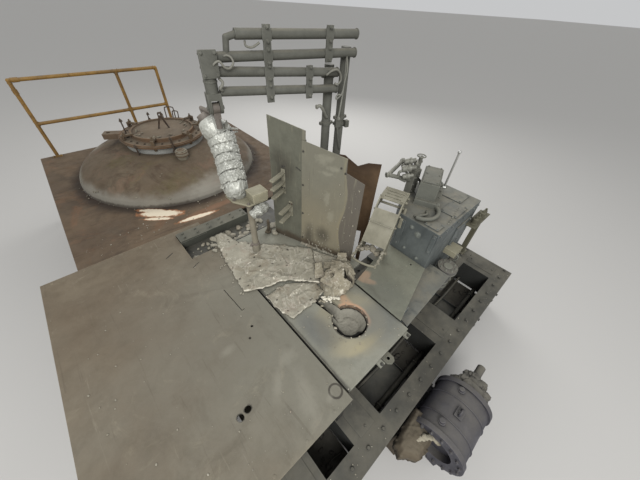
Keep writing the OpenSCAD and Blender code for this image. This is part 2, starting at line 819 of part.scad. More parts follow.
module gantry_columns() {
    color("gray") gantry_place() union() {
        bar([gantry_reach, 0, 0], [gantry_reach, 0, bar_z[1] + bar_d / 2], column_d);
        bar([inner_col, 0, 0], [inner_col, 0, bar_z[2] + 40], column_d);
        for (x = [gantry_reach, inner_col]) difference() {
            translate([x - base_w / 2, -base_w / 2, 0]) cube([base_w, base_w, 20]);
            for (a = [45, 135, 225, 315]) translate([x, 0, -eps]) rotate([0, 0, a]) translate([anchor_pcd / 2, 0, 0])
                cylinder(h = 22, d = anchor_d);
        }
    }
}

// Gantry bars: four long tubes with their clamp straps, held on the front of the columns.
link_y = -(column_d + bar_d) / 2 - seat;
link_d = 96;
link_seat = link_d / 2 + seat;
clevis_gap = 60;
ear_t = 24;
clevis_half = clevis_gap / 2 + ear_t;

module gantry_bars() {
    tilt_room = 4;
    x0 = [230, link_seat, link_seat + tilt_room, clevis_half + tilt_room];
    x1 = [gantry_reach, gantry_reach, inner_col, inner_col];
    strap_t = 16;
    end_run = 35;
    strap_y = link_y - bar_d / 2 - strap_t / 2;
    color("gray") gantry_place() union() {
        for (i = [0 : 3])
            bar([x0[i], link_y, bar_z[i] + bar_rise[i]], [x1[i] + end_run, link_y, bar_z[i] - bar_fall[i]], bar_d);
        translate([430, strap_y, bar_z[3] - 60]) cube([60, strap_t, bar_z[0] - bar_z[3] + 120]);
        translate([980, strap_y, bar_z[1] - 60]) cube([60, strap_t, bar_z[0] - bar_z[1] + 120]);
        translate([800, strap_y, bar_z[3] - 60]) cube([55, strap_t, bar_z[2] - bar_z[3] + 120]);
        bent_bar([[240, link_y, bar_z[0]], [165, link_y, bar_z[0] - 20], [150, link_y, bar_z[1]]], 45);
    }
}

// Hanging link at the free end of the bars, with the clevis and the pin of the dosing arm.
module gantry_link() {
    z1 = bar_z[1] + 40;
    ear_d = 90;
    bridge_z = arm_pin_z + 60;
    bridge_h = 50;
    color("gray") gantry_place() translate([0, link_y, 0]) union() {
        translate([0, 0, bridge_z + bridge_h]) cylinder(h = z1 - bridge_z - bridge_h, d = link_d);
        translate([-clevis_half, -ear_d / 2, bridge_z]) cube([2 * clevis_half, ear_d, bridge_h]);
        for (x = [-clevis_half, clevis_gap / 2]) {
            translate([x, -ear_d / 2, arm_pin_z]) cube([ear_t, ear_d, bridge_z - arm_pin_z]);
            translate([x, 0, arm_pin_z]) rotate([0, 90, 0]) cylinder(h = ear_t, d = ear_d);
        }
        translate([-clevis_half - 12, 0, arm_pin_z]) rotate([0, 90, 0])
            cylinder(h = 2 * clevis_half + 24, d = arm_pin_d);
    }
}

// Dosing arm, hung on the clevis pin: a bored lug with a stem, a round pad on the end of the wrapped
// tube, and a bracket from the pad to the stem.
lug_w = clevis_gap - 6;
arm_pin_z = bar_z[3] - pin_drop;
pin_at = gantry_at(0, link_y, arm_pin_z);

function gantry_at(x, y, z) = [
    gantry_foot[0] + x * cos(gantry_turn) - y * sin(gantry_turn),
    gantry_foot[1] + x * sin(gantry_turn) + y * cos(gantry_turn),
    z
];

module arm_bar() {
    end = wrap_path[0];
    out = (wrap_path[0] - wrap_path[1]) / norm(wrap_path[0] - wrap_path[1]);
    pad_d = 130;
    pad_l = 50;
    bracket_d = 36;
    bracket_z = 50;
    stem_l = 160;
    knee = end + 60 * out + [0, 0, 36];
    color("silver") site() difference() {
        union() {
            translate(pin_at) rotate([0, 0, gantry_turn]) union() {
                translate([-lug_w / 2, 0, 0]) rotate([0, 90, 0]) cylinder(h = lug_w, d = 84);
                translate([-lug_w / 2, -25, -bracket_z - 30]) cube([lug_w, 50, bracket_z + 30]);
                translate([0, 0, -stem_l]) cylinder(h = stem_l - bracket_z, d = 48);
            }
            bar(end + seat * out, end + pad_l * out, pad_d);
            bar(end + (pad_l - 12) * out, knee, bracket_d);
            translate(knee) sphere(d = bracket_d + corner_lip);
            bar(knee, pin_at - [0, 0, bracket_z], bracket_d);
        }
        translate(pin_at) rotate([0, 0, gantry_turn]) translate([-lug_w / 2 - eps, 0, 0]) rotate([0, 90, 0])
            cylinder(h = lug_w + 2 * eps, d = arm_pin_d + 2 * pin_clear);
    }
}

// Wrapped arm: the foil-wrapped insulated tube with its knee, set out from the hinge pin.
wrap_steps = [
    [-11, 204, -140], [9, 162, -200], [46, 134, -270], [38, 75, -340], [24, 18, -410],
    [3, -46, -470], [-23, -121, -530], [-49, -201, -590], [-53, -216, -635], [-53, -216, -678]
];
wrap_path = [for (p = wrap_steps) pin_at + p];
wrap_r = [86, 106, 122, 116, 110, 110, 111, 110, 102, 94];

module wrapped_arm() {
    color("whitesmoke") site() lofted_tube(wrap_path, wrap_r, 20);
}

// Sensor box on the foot plate of the wrapped arm.
foot_plate_t = 16;
foot_plate_z = wrap_path[len(wrap_path) - 1][2] - seat - foot_plate_t;

module sensor_box() {
    color("wheat") site() translate([pin_at[0], pin_at[1], foot_plate_z]) union() {
        slab(-170, 130, -450, -120, 0, foot_plate_t);
        slab(-25, 130, -455, -325, foot_plate_t - 1, foot_plate_t + 90);
    }
}

// Drop pipe under the foot plate, with its collar.
module drop_pipe() {
    color("silver") site() translate([pin_at[0] - 40, pin_at[1] - 400, drop_foot_z]) union() {
        cylinder(h = foot_plate_z - drop_foot_z, d = drop_pipe_d);
        cylinder(h = 90, d = drop_pipe_d + 20);
    }
}

// Drive block: a cast housing with a cut rear corner, on the bed.
module drive_block() {
    x1 = block_x + block_l;
    base_t = 40;
    color("lightslategray") site() union() {
        translate([0, 0, bed_z]) linear_extrude(block_z - bed_z)
            polygon([
                [block_x, block_y], [x1, block_y], [x1, block_y + 650], [block_x + 350, block_y + 650],
                [block_x, block_y + block_w]
            ]);
        slab(block_x - 20, x1 + 60, mid_beam_y + beam_w + 5, bed_rear - 10, bed_z, bed_z + base_t);
    }
}

// Hood on the drive block, turned a little, with a lid and the pin of the hand lever on its front.
hood_at = [2350, 990];
hood_l = 400;
hood_w = 190;
hood_h = 250;

module hood_place() {
    site() translate([hood_at[0], hood_at[1], block_z]) rotate([0, 0, hood_turn]) children();
}

module block_hood() {
    lid_inset = 16;
    lid_t = 14;
    color("darkgray") hood_place() union() {
        translate([0, -hood_w, 0]) cube([hood_l, hood_w, hood_h - lid_t]);
        translate([lid_inset, lid_inset - hood_w, hood_h - lid_t - 1])
            cube([hood_l - 2 * lid_inset, hood_w - 2 * lid_inset, lid_t + 1]);
        translate([-40, -hood_w - 60, 0]) cube([hood_l + 60, hood_w + 60 - 1, 60]);
    }
    color("darkgray") lever_place() rotate([90, 0, 0]) translate([0, 0, -lever_out - eps])
        cylinder(h = lever_out + eps + boss_l / 2 + 12, d = lever_pin_d);
}

// Valve cluster behind the hood: a manifold, two valve stubs and a looped pipe.
valve_at = [2430, 1100];

module valve_cluster() {
    pipe_d = 42;
    body_h = 270;
    color("lightgray") site() translate([valve_at[0], valve_at[1], block_z]) union() {
        cube([110, 78, body_h]);
        translate([28, 39, body_h - 1]) cylinder(h = 90, d = 46);
        translate([84, 39, body_h - 1]) cylinder(h = 120, d = 40);
        bent_bar([[30, 39, body_h - 120], [-230, 180, body_h - 30], [120, 250, body_h - 10], [84, 39, body_h - 30]],
            pipe_d);
    }
}

// Hand lever in front of the hood, on a pin that stands out of it.
lever_out = 45;
lever_rise = 180;
lever_along = 130;
lever_lean = -8;
boss_l = 30;

module lever_place() {
    hood_place() translate([lever_along, -hood_w - lever_out, lever_rise]) children();
}

module hand_lever() {
    boss_d = 40;
    color("whitesmoke") lever_place() difference() {
        union() {
            rotate([90, 0, 0]) cylinder(h = boss_l, d = boss_d, center = true);
            rotate([0, lever_lean, 0]) cylinder(h = lever_l, d = 20);
            rotate([0, lever_lean, 0]) translate([0, 0, lever_l]) sphere(d = 34);
        }
        rotate([90, 0, 0]) cylinder(h = boss_l + 40, d = lever_pin_d + 2 * pin_clear, center = true);
    }
}

// Side box on the right front of the drive block.
module block_side_box() {
    color("wheat") site() translate([block_x + 410, block_y - 130, deck_z - 40]) cube([160, 130, 70]);
}

// Head cylinder: a short round head with a bored port, on the front of the block.
head_x = block_x + 290;
head_r = 105;
head_z = 870;
head_gap = 35;

module head_cylinder() {
    neck = head_r - 30;
    port_r = 30;
    color("gray") site() translate([head_x, block_y - head_r - head_gap, head_z]) difference() {
        union() {
            cylinder(h = 60, r = head_r);
            translate([0, 0, bed_z - head_z]) cylinder(h = head_z - bed_z + eps, r = neck);
        }
        translate([0, 0, 20]) cylinder(h = 60, r = port_r);
    }
}

// Ladle arm: its own frame has x running up and back from the fork to the head.
ladle_at = [1717, 972, deck_z + 10];
cup_at = [1290, 985];
cup_lug_z = 165;

module ladle_place() {
    site() translate(ladle_at) rotate([0, 0, ladle_turn]) children();
}

module ladle_arm() {
    web_t = 14;
    prong_l = 230;
    prong_h = 34;
    prong_z = table_z + cup_lug_z - deck_z - 10;
    head_z0 = 440;
    head_z1 = 540;
    head_x0 = 330;
    head_x1 = 560;
    slot_w = 18;
    cheek = [
        [-20, 60], [60, 0], [150, 0], [head_x0 - 10, head_z0], [head_x1, head_z0], [head_x1, head_z1],
        [head_x0, head_z1], [250, head_z1 - 80], [10, 190]
    ];
    web = [[250, head_z1 - 80], [10, 190], [20, 180], [262, head_z1 - 88]];
    color("tan") ladle_place() union() {
        for (y = [-ladle_w / 2, ladle_w / 2 - web_t]) {
            translate([0, y + web_t, 0]) rotate([90, 0, 0]) linear_extrude(web_t) polygon(cheek);
            translate([-prong_l, y, prong_z]) cube([prong_l + 60, web_t, prong_h]);
        }
        translate([head_x0, -ladle_w / 2, head_z1 - web_t]) difference() {
            cube([head_x1 - head_x0, ladle_w, web_t]);
            for (x = [40, 95, 150]) translate([x, 40, -eps]) cube([slot_w, ladle_w - 80, web_t + 2 * eps]);
        }
        translate([0, ladle_w / 2, 0]) rotate([90, 0, 0]) linear_extrude(ladle_w) polygon(web);
    }
}

// Ladle cup: a crusted pouring cup that stands on the table, with a cut lip.
module ladle_cup() {
    foot_r = cup_r - 55;
    rim_h = 240;
    color("antiquewhite") site() translate([cup_at[0], cup_at[1], table_z]) difference() {
        rotate_extrude() polygon([
            [0, 0], [foot_r - 14, 0], [foot_r - 6, 32], [foot_r + 30, 92], [cup_r, 150], [cup_r - 8, rim_h - 5],
            [cup_r - 36, rim_h - 5], [foot_r, 150], [foot_r - 18, 100], [0, 92]
        ]);
        rotate([0, 0, 205]) translate([foot_r - 10, -30, 170]) cube([90, 60, 80]);
    }
}

bed_frame();
bed_tray();
side_cylinder();
cylinder_cap();
deck_frame();
front_deck();
furnace_deck();
furnace_deck_frame();
furnace_shell();
furnace_dome();
furnace_neck();
lid_flange();
lid_plate();
lid_handle();
lid_clamps();
lid_side_box();
dome_spout();
guard_rail();
launder_beam();
launder_pan();
table_frame();
front_apron();
keyhole_table();
keyhole_basin();
right_plate();
crust_sheet_left();
crust_sheet_front();
shield_left();
shield_right();
rear_sheet();
guide_bars();
gantry_columns();
gantry_bars();
gantry_link();
arm_bar();
wrapped_arm();
sensor_box();
drop_pipe();
drive_block();
block_hood();
valve_cluster();
hand_lever();
block_side_box();
head_cylinder();
ladle_arm();
ladle_cup();
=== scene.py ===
import json
import math
import random

import bmesh
import bpy
from mathutils import Matrix, Vector, noise
from mathutils.geometry import delaunay_2d_cdt


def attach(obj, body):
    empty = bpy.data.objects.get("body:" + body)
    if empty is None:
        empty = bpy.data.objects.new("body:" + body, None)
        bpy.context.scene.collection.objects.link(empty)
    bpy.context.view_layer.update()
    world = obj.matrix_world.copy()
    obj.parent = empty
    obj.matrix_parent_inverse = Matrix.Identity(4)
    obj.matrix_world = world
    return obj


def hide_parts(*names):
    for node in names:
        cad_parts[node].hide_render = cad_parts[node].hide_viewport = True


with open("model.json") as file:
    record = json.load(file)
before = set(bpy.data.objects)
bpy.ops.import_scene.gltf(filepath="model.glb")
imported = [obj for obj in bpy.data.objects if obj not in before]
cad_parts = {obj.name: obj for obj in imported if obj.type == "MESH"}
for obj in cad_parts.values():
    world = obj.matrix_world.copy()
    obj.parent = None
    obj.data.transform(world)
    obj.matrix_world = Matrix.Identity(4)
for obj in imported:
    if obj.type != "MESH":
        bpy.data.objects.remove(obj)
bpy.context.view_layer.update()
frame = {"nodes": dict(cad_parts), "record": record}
NODES = frame["nodes"]
SCENE = bpy.context.scene
rng = random.Random(7)

# Site coordinates (setting-out point in front of the machine) to the row frame.
SITE = Vector((-1.225, -2.420, 0.0))
UP = Vector((0, 0, 1))
EAST, WEST = Vector((1, 0, 0)), Vector((-1, 0, 0))
NORTH, SOUTH = Vector((0, 1, 0)), Vector((0, -1, 0))
TAU = 2 * math.pi


def at(x, y, z):
    return Vector((x, y, z)) + SITE


def local(origin, turn):
    """Site millimetres from millimetres in a frame that is turned about the vertical."""
    spin = Matrix.Rotation(math.radians(turn), 3, "Z")
    base = Vector(origin)
    return lambda x, y, z: base + spin @ Vector((x, y, z))


def axes_of(place):
    """The three directions of a turned frame."""
    return place(1, 0, 0) - place(0, 0, 0), place(0, 1, 0) - place(0, 0, 0), UP


def run(place, *points):
    """Points of a turned frame as points of the site."""
    return [place(*p) for p in points]


GANTRY = local((947, 2289, 0), -12.6)
SHIELD = local((1220, 1940, 0), math.degrees(math.atan2(-0.937, 0.350)))
HOOD = local((2350, 990, 1440), 23)
LADLE = local((1717, 972, 1010), 18)
KEYHOLE = local((1045, 620, 0), 8)
VALVE = local((2430, 1100, 1440), 0)
PIN = Vector((929.48, 2210.63, 2290))

# Heights of the upper faces, and the axes of the furnace and of the side cylinder.
DECK_Z, TABLE_Z, BED_Z, BLOCK_Z = 1000, 985, 600, 1440
FURNACE_X, FURNACE_Y = 950, 4200
DRUM_Y, DRUM_Z = -380, 500


# Camera
WIDTH, HEIGHT = 640, 480
FOCAL_PX = 263.3
NADIR_PX = (300.6, 521.2)
EYE = at(0.0, 0.0, 3.0)
YAW = math.radians(45)


def make_camera():
    up = -Vector((NADIR_PX[0] - WIDTH / 2, NADIR_PX[1] - HEIGHT / 2, FOCAL_PX)).normalized()
    forward = Vector((0, 0, 1))
    level = (forward - up * forward.dot(up)).normalized()
    right = level.cross(up)
    right = -right if right.x < 0 else right
    # The row frame's axes written in camera coordinates (x right, y down, z forward).
    x_axis = math.cos(YAW) * right + math.sin(YAW) * level
    y_axis = -math.sin(YAW) * right + math.cos(YAW) * level
    rows = [(a.x, -a.y, -a.z) for a in (x_axis, y_axis, up)]
    data = bpy.data.cameras.new("camera")
    data.sensor_width = 36.0
    data.lens = data.sensor_width * FOCAL_PX / WIDTH
    data.clip_start = 0.05
    data.clip_end = 100.0
    cam = bpy.data.objects.new("camera", data)
    SCENE.collection.objects.link(cam)
    cam.matrix_world = Matrix.Translation(EYE) @ Matrix(rows).to_4x4()
    SCENE.camera = cam


make_camera()


# Materials
def rgb(r, g, b):
    """A colour written as it is seen, 0 to 255, in the linear values that shaders take."""
    def one(c):
        c /= 255
        return c / 12.92 if c <= 0.04045 else ((c + 0.055) / 1.055) ** 2.4
    return (one(r), one(g), one(b), 1.0)


def shade(color, k):
    return (*(min(1.0, c * k) for c in color[:3]), 1.0)


RUST = rgb(106, 70, 44)
RUST_DARK = rgb(64, 42, 30)
DUST = (138, 132, 115)
SOOT = (26, 24, 21)
CHALK = (214, 209, 194)


class Tree:
    """A material under construction: its colour so far, and short names for the nodes that surfaces share."""

    def __init__(self, name):
        self.mat = bpy.data.materials.new(name)
        self.mat.use_nodes = True
        self.nt = self.mat.node_tree
        self.bsdf = self.nt.nodes["Principled BSDF"]
        self.pos = self.nt.nodes.new("ShaderNodeTexCoord").outputs["Object"]
        self.geo = self.nt.nodes.new("ShaderNodeNewGeometry")
        self.x, self.y, self.z = self.node("ShaderNodeSeparateXYZ", {0: self.pos}).outputs
        self.color = None

    def node(self, kind, inputs=None, **settings):
        n = self.nt.nodes.new(kind)
        for key, value in settings.items():
            setattr(n, key, value)
        for key, value in (inputs or {}).items():
            self.plug(n.inputs[key], value)
        return n

    def plug(self, socket, value):
        if isinstance(value, bpy.types.NodeSocket):
            self.nt.links.new(value, socket)
        else:
            socket.default_value = value

    def math(self, op, a, b=0.0):
        return self.node("ShaderNodeMath", {0: a, 1: b}, operation=op).outputs[0]

    def mul(self, a, b):
        return self.math("MULTIPLY", a, b)

    def vector(self, op, a, b=None):
        inputs = {0: a} if b is None else {0: a, 1: b}
        return self.node("ShaderNodeVectorMath", inputs, operation=op).outputs

    def noise(self, scale, detail=4.0, rough=0.55, warp=0.0, vec=None):
        return self.node("ShaderNodeTexNoise", {
            "Vector": vec or self.pos, "Scale": scale, "Detail": detail, "Roughness": rough,
            "Distortion": warp}).outputs["Fac"]

    def wobble(self, value, scale, amount, detail=5.0):
        """A value with a ragged error, so that a line drawn by it is not straight."""
        error = self.math("SUBTRACT", self.noise(scale, detail), 0.5)
        return self.math("ADD", value, self.mul(error, amount * 2))

    def cells(self, scale):
        return self.node("ShaderNodeTexVoronoi", {"Vector": self.pos, "Scale": scale}).outputs["Distance"]

    def ramp(self, value, lo, hi, a=0.0, b=1.0):
        inputs = {0: value, 1: lo, 2: hi, 3: a, 4: b}
        return self.node("ShaderNodeMapRange", inputs, interpolation_type="SMOOTHSTEP").outputs[0]

    def attribute(self, name):
        return self.node("ShaderNodeAttribute", attribute_name=name).outputs["Fac"]

    def mix(self, fac, a, b):
        n = self.node("ShaderNodeMix", data_type="RGBA", blend_type="MIX", clamp_factor=True)
        for socket, value in ((n.inputs[0], fac), (n.inputs[6], a), (n.inputs[7], b)):
            self.plug(socket, value)
        return n.outputs[2]

    def tint(self, mask, tone, amount=None):
        """Lays a colour over what is there, where the mask is 1; a bare triple is written 0 to 255."""
        mask = mask if amount is None else self.mul(mask, amount)
        tone = rgb(*tone) if isinstance(tone, tuple) and len(tone) == 3 else tone
        self.color = self.mix(mask, self.color, tone)

    def cloud(self, how, lo, hi, amount, tone, stretch=None, turn=0.0, shift=(0, 0, 0)):
        """Lays a colour over the high parts of a noise: how is its scale, detail, roughness and warp."""
        vec = self.stretch(stretch or (1, 1, 1), turn, shift) if stretch or any(shift) else None
        self.tint(self.ramp(self.noise(*how, vec=vec), lo, hi, 0.0, amount), tone)

    def stretch(self, scale, turn=0.0, shift=(0, 0, 0)):
        return self.node("ShaderNodeMapping", {
            "Vector": self.pos, "Location": shift, "Rotation": (0, 0, turn), "Scale": scale}).outputs[0]

    def spot(self, centre, size, turn=0.0, soft=0.35, rag=0.25, rag_scale=8.0):
        """1 inside a ragged ellipsoid about a point of the site, 0 outside."""
        back = self.vector("SUBTRACT", self.pos, tuple(at(*centre)))[0]
        turned = self.node("ShaderNodeVectorRotate", {"Vector": back, "Axis": (0, 0, 1), "Angle": -turn},
                           rotation_type="AXIS_ANGLE").outputs[0]
        scaled = self.vector("MULTIPLY", turned, tuple(1 / s for s in size))[0]
        far = self.vector("LENGTH", scaled)["Value"]
        return self.ramp(self.wobble(far, rag_scale, rag), 1 - soft, 1 + soft, 1.0, 0.0)

    def spots(self, places, **how):
        """The brightest of several spots, each (centre, size, turn)."""
        total = 0.0
        for centre, size, turn in places:
            total = self.math("MAXIMUM", total, self.spot(centre, size, turn, **how))
        return total

    def ring(self, centre, inner, outer, soft=0.006, rag=0.0, rag_scale=20.0):
        """1 between two radii of an upright axis through a point of the site."""
        centre = at(*centre)
        dx = self.math("SUBTRACT", self.x, centre[0])
        dy = self.math("SUBTRACT", self.y, centre[1])
        far = self.math("SQRT", self.math("ADD", self.mul(dx, dx), self.mul(dy, dy)))
        far = self.wobble(far, rag_scale, rag)
        return self.mul(self.ramp(far, inner - soft, inner + soft),
                        self.ramp(far, outer - soft, outer + soft, 1.0, 0.0))

    def flecks(self, cell_scale, size, patch, lo, hi):
        """Small round drops, in patches."""
        drops = self.ramp(self.cells(cell_scale), *size, 1.0, 0.0)
        return self.mul(drops, self.ramp(self.noise(*patch), lo, hi))

    def facing_up(self):
        z = self.node("ShaderNodeSeparateXYZ", {0: self.geo.outputs["Normal"]}).outputs[2]
        return self.ramp(z, 0.35, 0.9)

    def edges(self, radius=0.012):
        """1 on the sharp edges of a solid, 0 on its faces."""
        round_n = self.node("ShaderNodeBevel", {"Radius": radius}, samples=4).outputs[0]
        dot = self.vector("DOT_PRODUCT", round_n, self.geo.outputs["Normal"])["Value"]
        return self.ramp(dot, 0.97, 0.80, 0.0, 1.0)

    def corners(self, reach=0.12):
        """1 deep in a corner or under a cover, 0 in the open: the mask of the painted shade."""
        ao = self.node("ShaderNodeAmbientOcclusion", {"Distance": reach}, samples=3).outputs["AO"]
        return self.ramp(ao, 0.25, 0.95, 1.0, 0.0)

    def finish(self, rough, bump=None, height=0.002, metal=0.0):
        for name, value in (("Base Color", self.color), ("Roughness", rough), ("Metallic", metal)):
            self.plug(self.bsdf.inputs[name], value)
        if bump is not None:
            n = self.node("ShaderNodeBump", {"Height": bump, "Strength": 0.7, "Distance": height})
            self.plug(self.bsdf.inputs["Normal"], n.outputs[0])
        return self.mat


def worn(name, base, second, rust=0.0, dust=0.3, wear=0.25, rough=0.66, metal=0.0, scale=1.0, bump=0.002,
         soot=0.3, painted_shade=0.45, chalk=0.0, wear_color=None, extra=None):
    """Painted or bare plate with mottled colour, rust, stains, settled dust, soot and rubbed edges, and
    painted shade darkened into its corners and under covers.
    """
    t = Tree(name)
    mid = t.noise(9 * scale, 7, 0.66, 0.2)
    fine = t.noise(90, 5, 0.65)
    t.color = base
    t.tint(t.ramp(t.noise(1.3 * scale, 5, 0.6, 0.4), 0.36, 0.66), second)
    t.tint(t.ramp(mid, 0.35, 0.72, 0.0, 0.5), shade(base, 0.55))
    t.tint(t.ramp(fine, 0.42, 0.75, 0.0, 0.3), shade(second, 1.45))
    if rust:
        patch = t.noise(5.5 * scale, 8, 0.7, 0.7)
        tone = t.mix(t.ramp(fine, 0.35, 0.7), RUST_DARK, RUST)
        t.tint(t.ramp(patch, 0.72 - 0.36 * rust, 0.80 - 0.30 * rust, 0.0, 0.9), tone)
    if soot:
        t.cloud((2.6 * scale, 8, 0.68, 0.5), 0.50, 0.76, soot, SOOT)
    if chalk:
        patchy = t.mul(t.ramp(t.noise(38, 6, 0.75), 0.62, 0.70), t.ramp(t.noise(2.4, 4), 0.50, 0.62))
        t.tint(patchy, CHALK, chalk)
    if wear:
        rub = t.mul(t.edges(), t.ramp(t.noise(14, 4), 0.35, 0.6))
        t.tint(rub, wear_color or shade((*(c + 0.012 for c in base[:3]), 1), 2.2), wear)
    if dust:
        lying = t.mul(t.facing_up(), t.ramp(t.noise(4.2 * scale, 7, 0.65, 0.3), 0.3, 0.7, 0.35, 1.0))
        t.tint(lying, DUST, dust)
    if extra:
        extra(t)
    # painted shade: the colour is darkened towards soot where ambient occlusion finds corners and covers
    if painted_shade:
        t.tint(t.corners(), shade(rgb(*SOOT), 1.1), painted_shade)
    relief = t.math("ADD", t.mul(mid, 0.6), t.mul(fine, 0.4))
    roughness = t.ramp(mid, 0.25, 0.75, max(0.15, rough - 0.14), min(1.0, rough + 0.16))
    return t.finish(roughness, relief, bump, metal)


def deck_marks(t):
    """Grey and brown stains, scuffs, drag marks, pale splashes and the ring mark of the walking deck."""
    t.tint(t.spot((0.9, 0.9, 1.0), (1.5, 1.15, 1), soft=0.7, rag=0.45, rag_scale=2.5), (126, 125, 113), 0.8)
    t.tint(t.spot((-0.5, 1.6, 1.0), (0.9, 1.3, 1), soft=0.8, rag=0.5, rag_scale=2.0), (92, 74, 56), 0.30)
    t.cloud((1.9, 9, 0.72, 1.4), 0.48, 0.70, 0.28, (72, 64, 52))
    t.cloud((3.4, 9, 0.75, 0.8), 0.54, 0.72, 0.34, (150, 142, 122), shift=(5, 2, 0))
    for lean, cut, tone, much in ((0.25, 0.60, (70, 61, 50), 0.24), (-0.35, 0.63, (158, 150, 132), 0.22),
                                  (1.1, 0.64, (58, 50, 41), 0.22), (0.85, 0.66, (148, 140, 122), 0.2)):
        t.cloud((2.6, 6, 0.7, 0.5), cut, cut + 0.10, much, tone, (9.0, 0.6, 1), lean)
    t.tint(t.flecks(40, (0.05, 0.13), (3.2, 3), 0.56, 0.64), (178, 172, 156), 0.7)
    t.tint(t.ring((0.57, 0.315, 1.0), 0.038, 0.052, 0.004, 0.006), (46, 40, 34), 0.8)
    pale = t.spots((((0.51, 0.31, 1), (0.034, 0.018, 1), 0.6), ((0.30, 0.62, 1), (0.10, 0.03, 1), 0.9),
                    ((0.46, 0.72, 1), (0.07, 0.05, 1), 0.2), ((0.15, 1.05, 1), (0.05, 0.03, 1), 0.1),
                    ((0.40, 0.42, 1), (0.16, 0.05, 1), 1.2)), soft=0.7, rag=0.7, rag_scale=22)
    t.tint(pale, (160, 156, 142), 0.25)
    black = t.spots((((0.063, 0.619, 1), (0.028, 0.022, 1), 0.3), ((0.002, 0.607, 1), (0.023, 0.026, 1), 0),
                     ((0.18, 2.30, 1), (0.05, 0.006, 1), 0.5), ((0.33, 2.02, 1), (0.045, 0.005, 1), 0.45)),
                    soft=0.25, rag=0.5, rag_scale=30)
    t.tint(black, SOOT, 0.9)


def furnace_deck_marks(t):
    """Rust brown plate, ash by the dome, sooty shadow round its foot and pale patches of painted light with
    warm orange edges.
    """
    t.cloud((3.0, 7, 0.7, 1.0), 0.50, 0.72, 0.5, (52, 39, 29), (1.0, 5.0, 1), 0.2)
    t.cloud((2.2, 8, 0.7, 0.9), 0.52, 0.70, 0.5, (118, 84, 58))
    t.tint(t.ring((0.95, 4.2, 1), 1.10, 1.27, 0.07, 0.06, 6), (40, 31, 24), 0.75)
    t.tint(t.spot((0.95, 2.80, 1.0), (0.36, 0.045, 1), 0.0, 0.5, 0.3, 12), (132, 98, 74), 0.6)
    # painted light: bright white patches, each laid over a larger warm orange copy that forms its edge
    for grow, tone, much in ((1.25, (168, 112, 72), 0.7), (1.0, (226, 214, 190), 0.95)):
        splash = t.spots([(centre, (long * grow, wide * grow, 1), turn) for centre, long, wide, turn in (
            ((0.36, 3.05, 1), 0.215, 0.060, -0.62), ((0.30, 3.17, 1), 0.150, 0.030, -0.70),
            ((0.30, 2.97, 1), 0.140, 0.024, -0.60), ((0.66, 2.735, 1), 0.190, 0.032, -0.13))],
            soft=0.16, rag=0.42, rag_scale=26)
        t.tint(splash, tone, much)


def dome_marks(t):
    """Olive and brown soot blotches above, a ragged whitish ash band at the foot, rust by the lid."""
    t.cloud((3.0, 8, 0.7, 0.9), 0.50, 0.64, 0.65, (66, 52, 38))
    t.cloud((2.3, 6, 0.7, 0.6), 0.54, 0.66, 0.45, (92, 84, 52), shift=(3, 1, 7))
    t.cloud((4.4, 7, 0.7, 0.6), 0.52, 0.68, 0.35, (124, 96, 78), shift=(9, 4, 2))
    z = t.wobble(t.wobble(t.z, 5, 0.07), 1.3, 0.06, 2)
    t.tint(t.ramp(z, 1.19, 1.09, 0.0, 0.62), (140, 138, 128))
    t.tint(t.ramp(t.wobble(t.z, 16, 0.03), 1.05, 1.015, 0.0, 0.7), (58, 48, 38))
    white = t.spots((((1.05, 3.06, 1.1), (0.30, 0.14, 0.2), 0.2),
                     ((0.17, 4.75, 1.2), (0.10, 0.16, 0.1), 0.2)), soft=0.5, rag=0.5, rag_scale=14)
    t.tint(white, (168, 164, 152), 0.45)
    drip = t.noise(5, 6, 0.7, 0.3, t.stretch((5, 5, 0.6)))
    t.tint(t.mul(t.ramp(drip, 0.56, 0.70), t.ramp(t.z, 1.2, 1.34, 0.0, 0.5)), (96, 60, 36))


def lid_marks(t):
    """Orange rust lines along the rims of the lid and its flange, ash in the dish."""
    centre = (0.95, 4.2, 1.5)
    rims = t.math("MAXIMUM", t.ring(centre, 0.385, 0.415, 0.008, 0.012, 9),
                  t.ring(centre, 0.512, 0.54, 0.008, 0.01, 9))
    t.tint(t.mul(rims, t.ramp(t.noise(3.1, 5, 0.65), 0.35, 0.58)), (126, 90, 58), 0.4)
    t.tint(t.spot((0.98, 4.24, 1.5), (0.25, 0.20, 1), 0.3, 0.7, 0.6, 7), (132, 116, 96), 0.4)


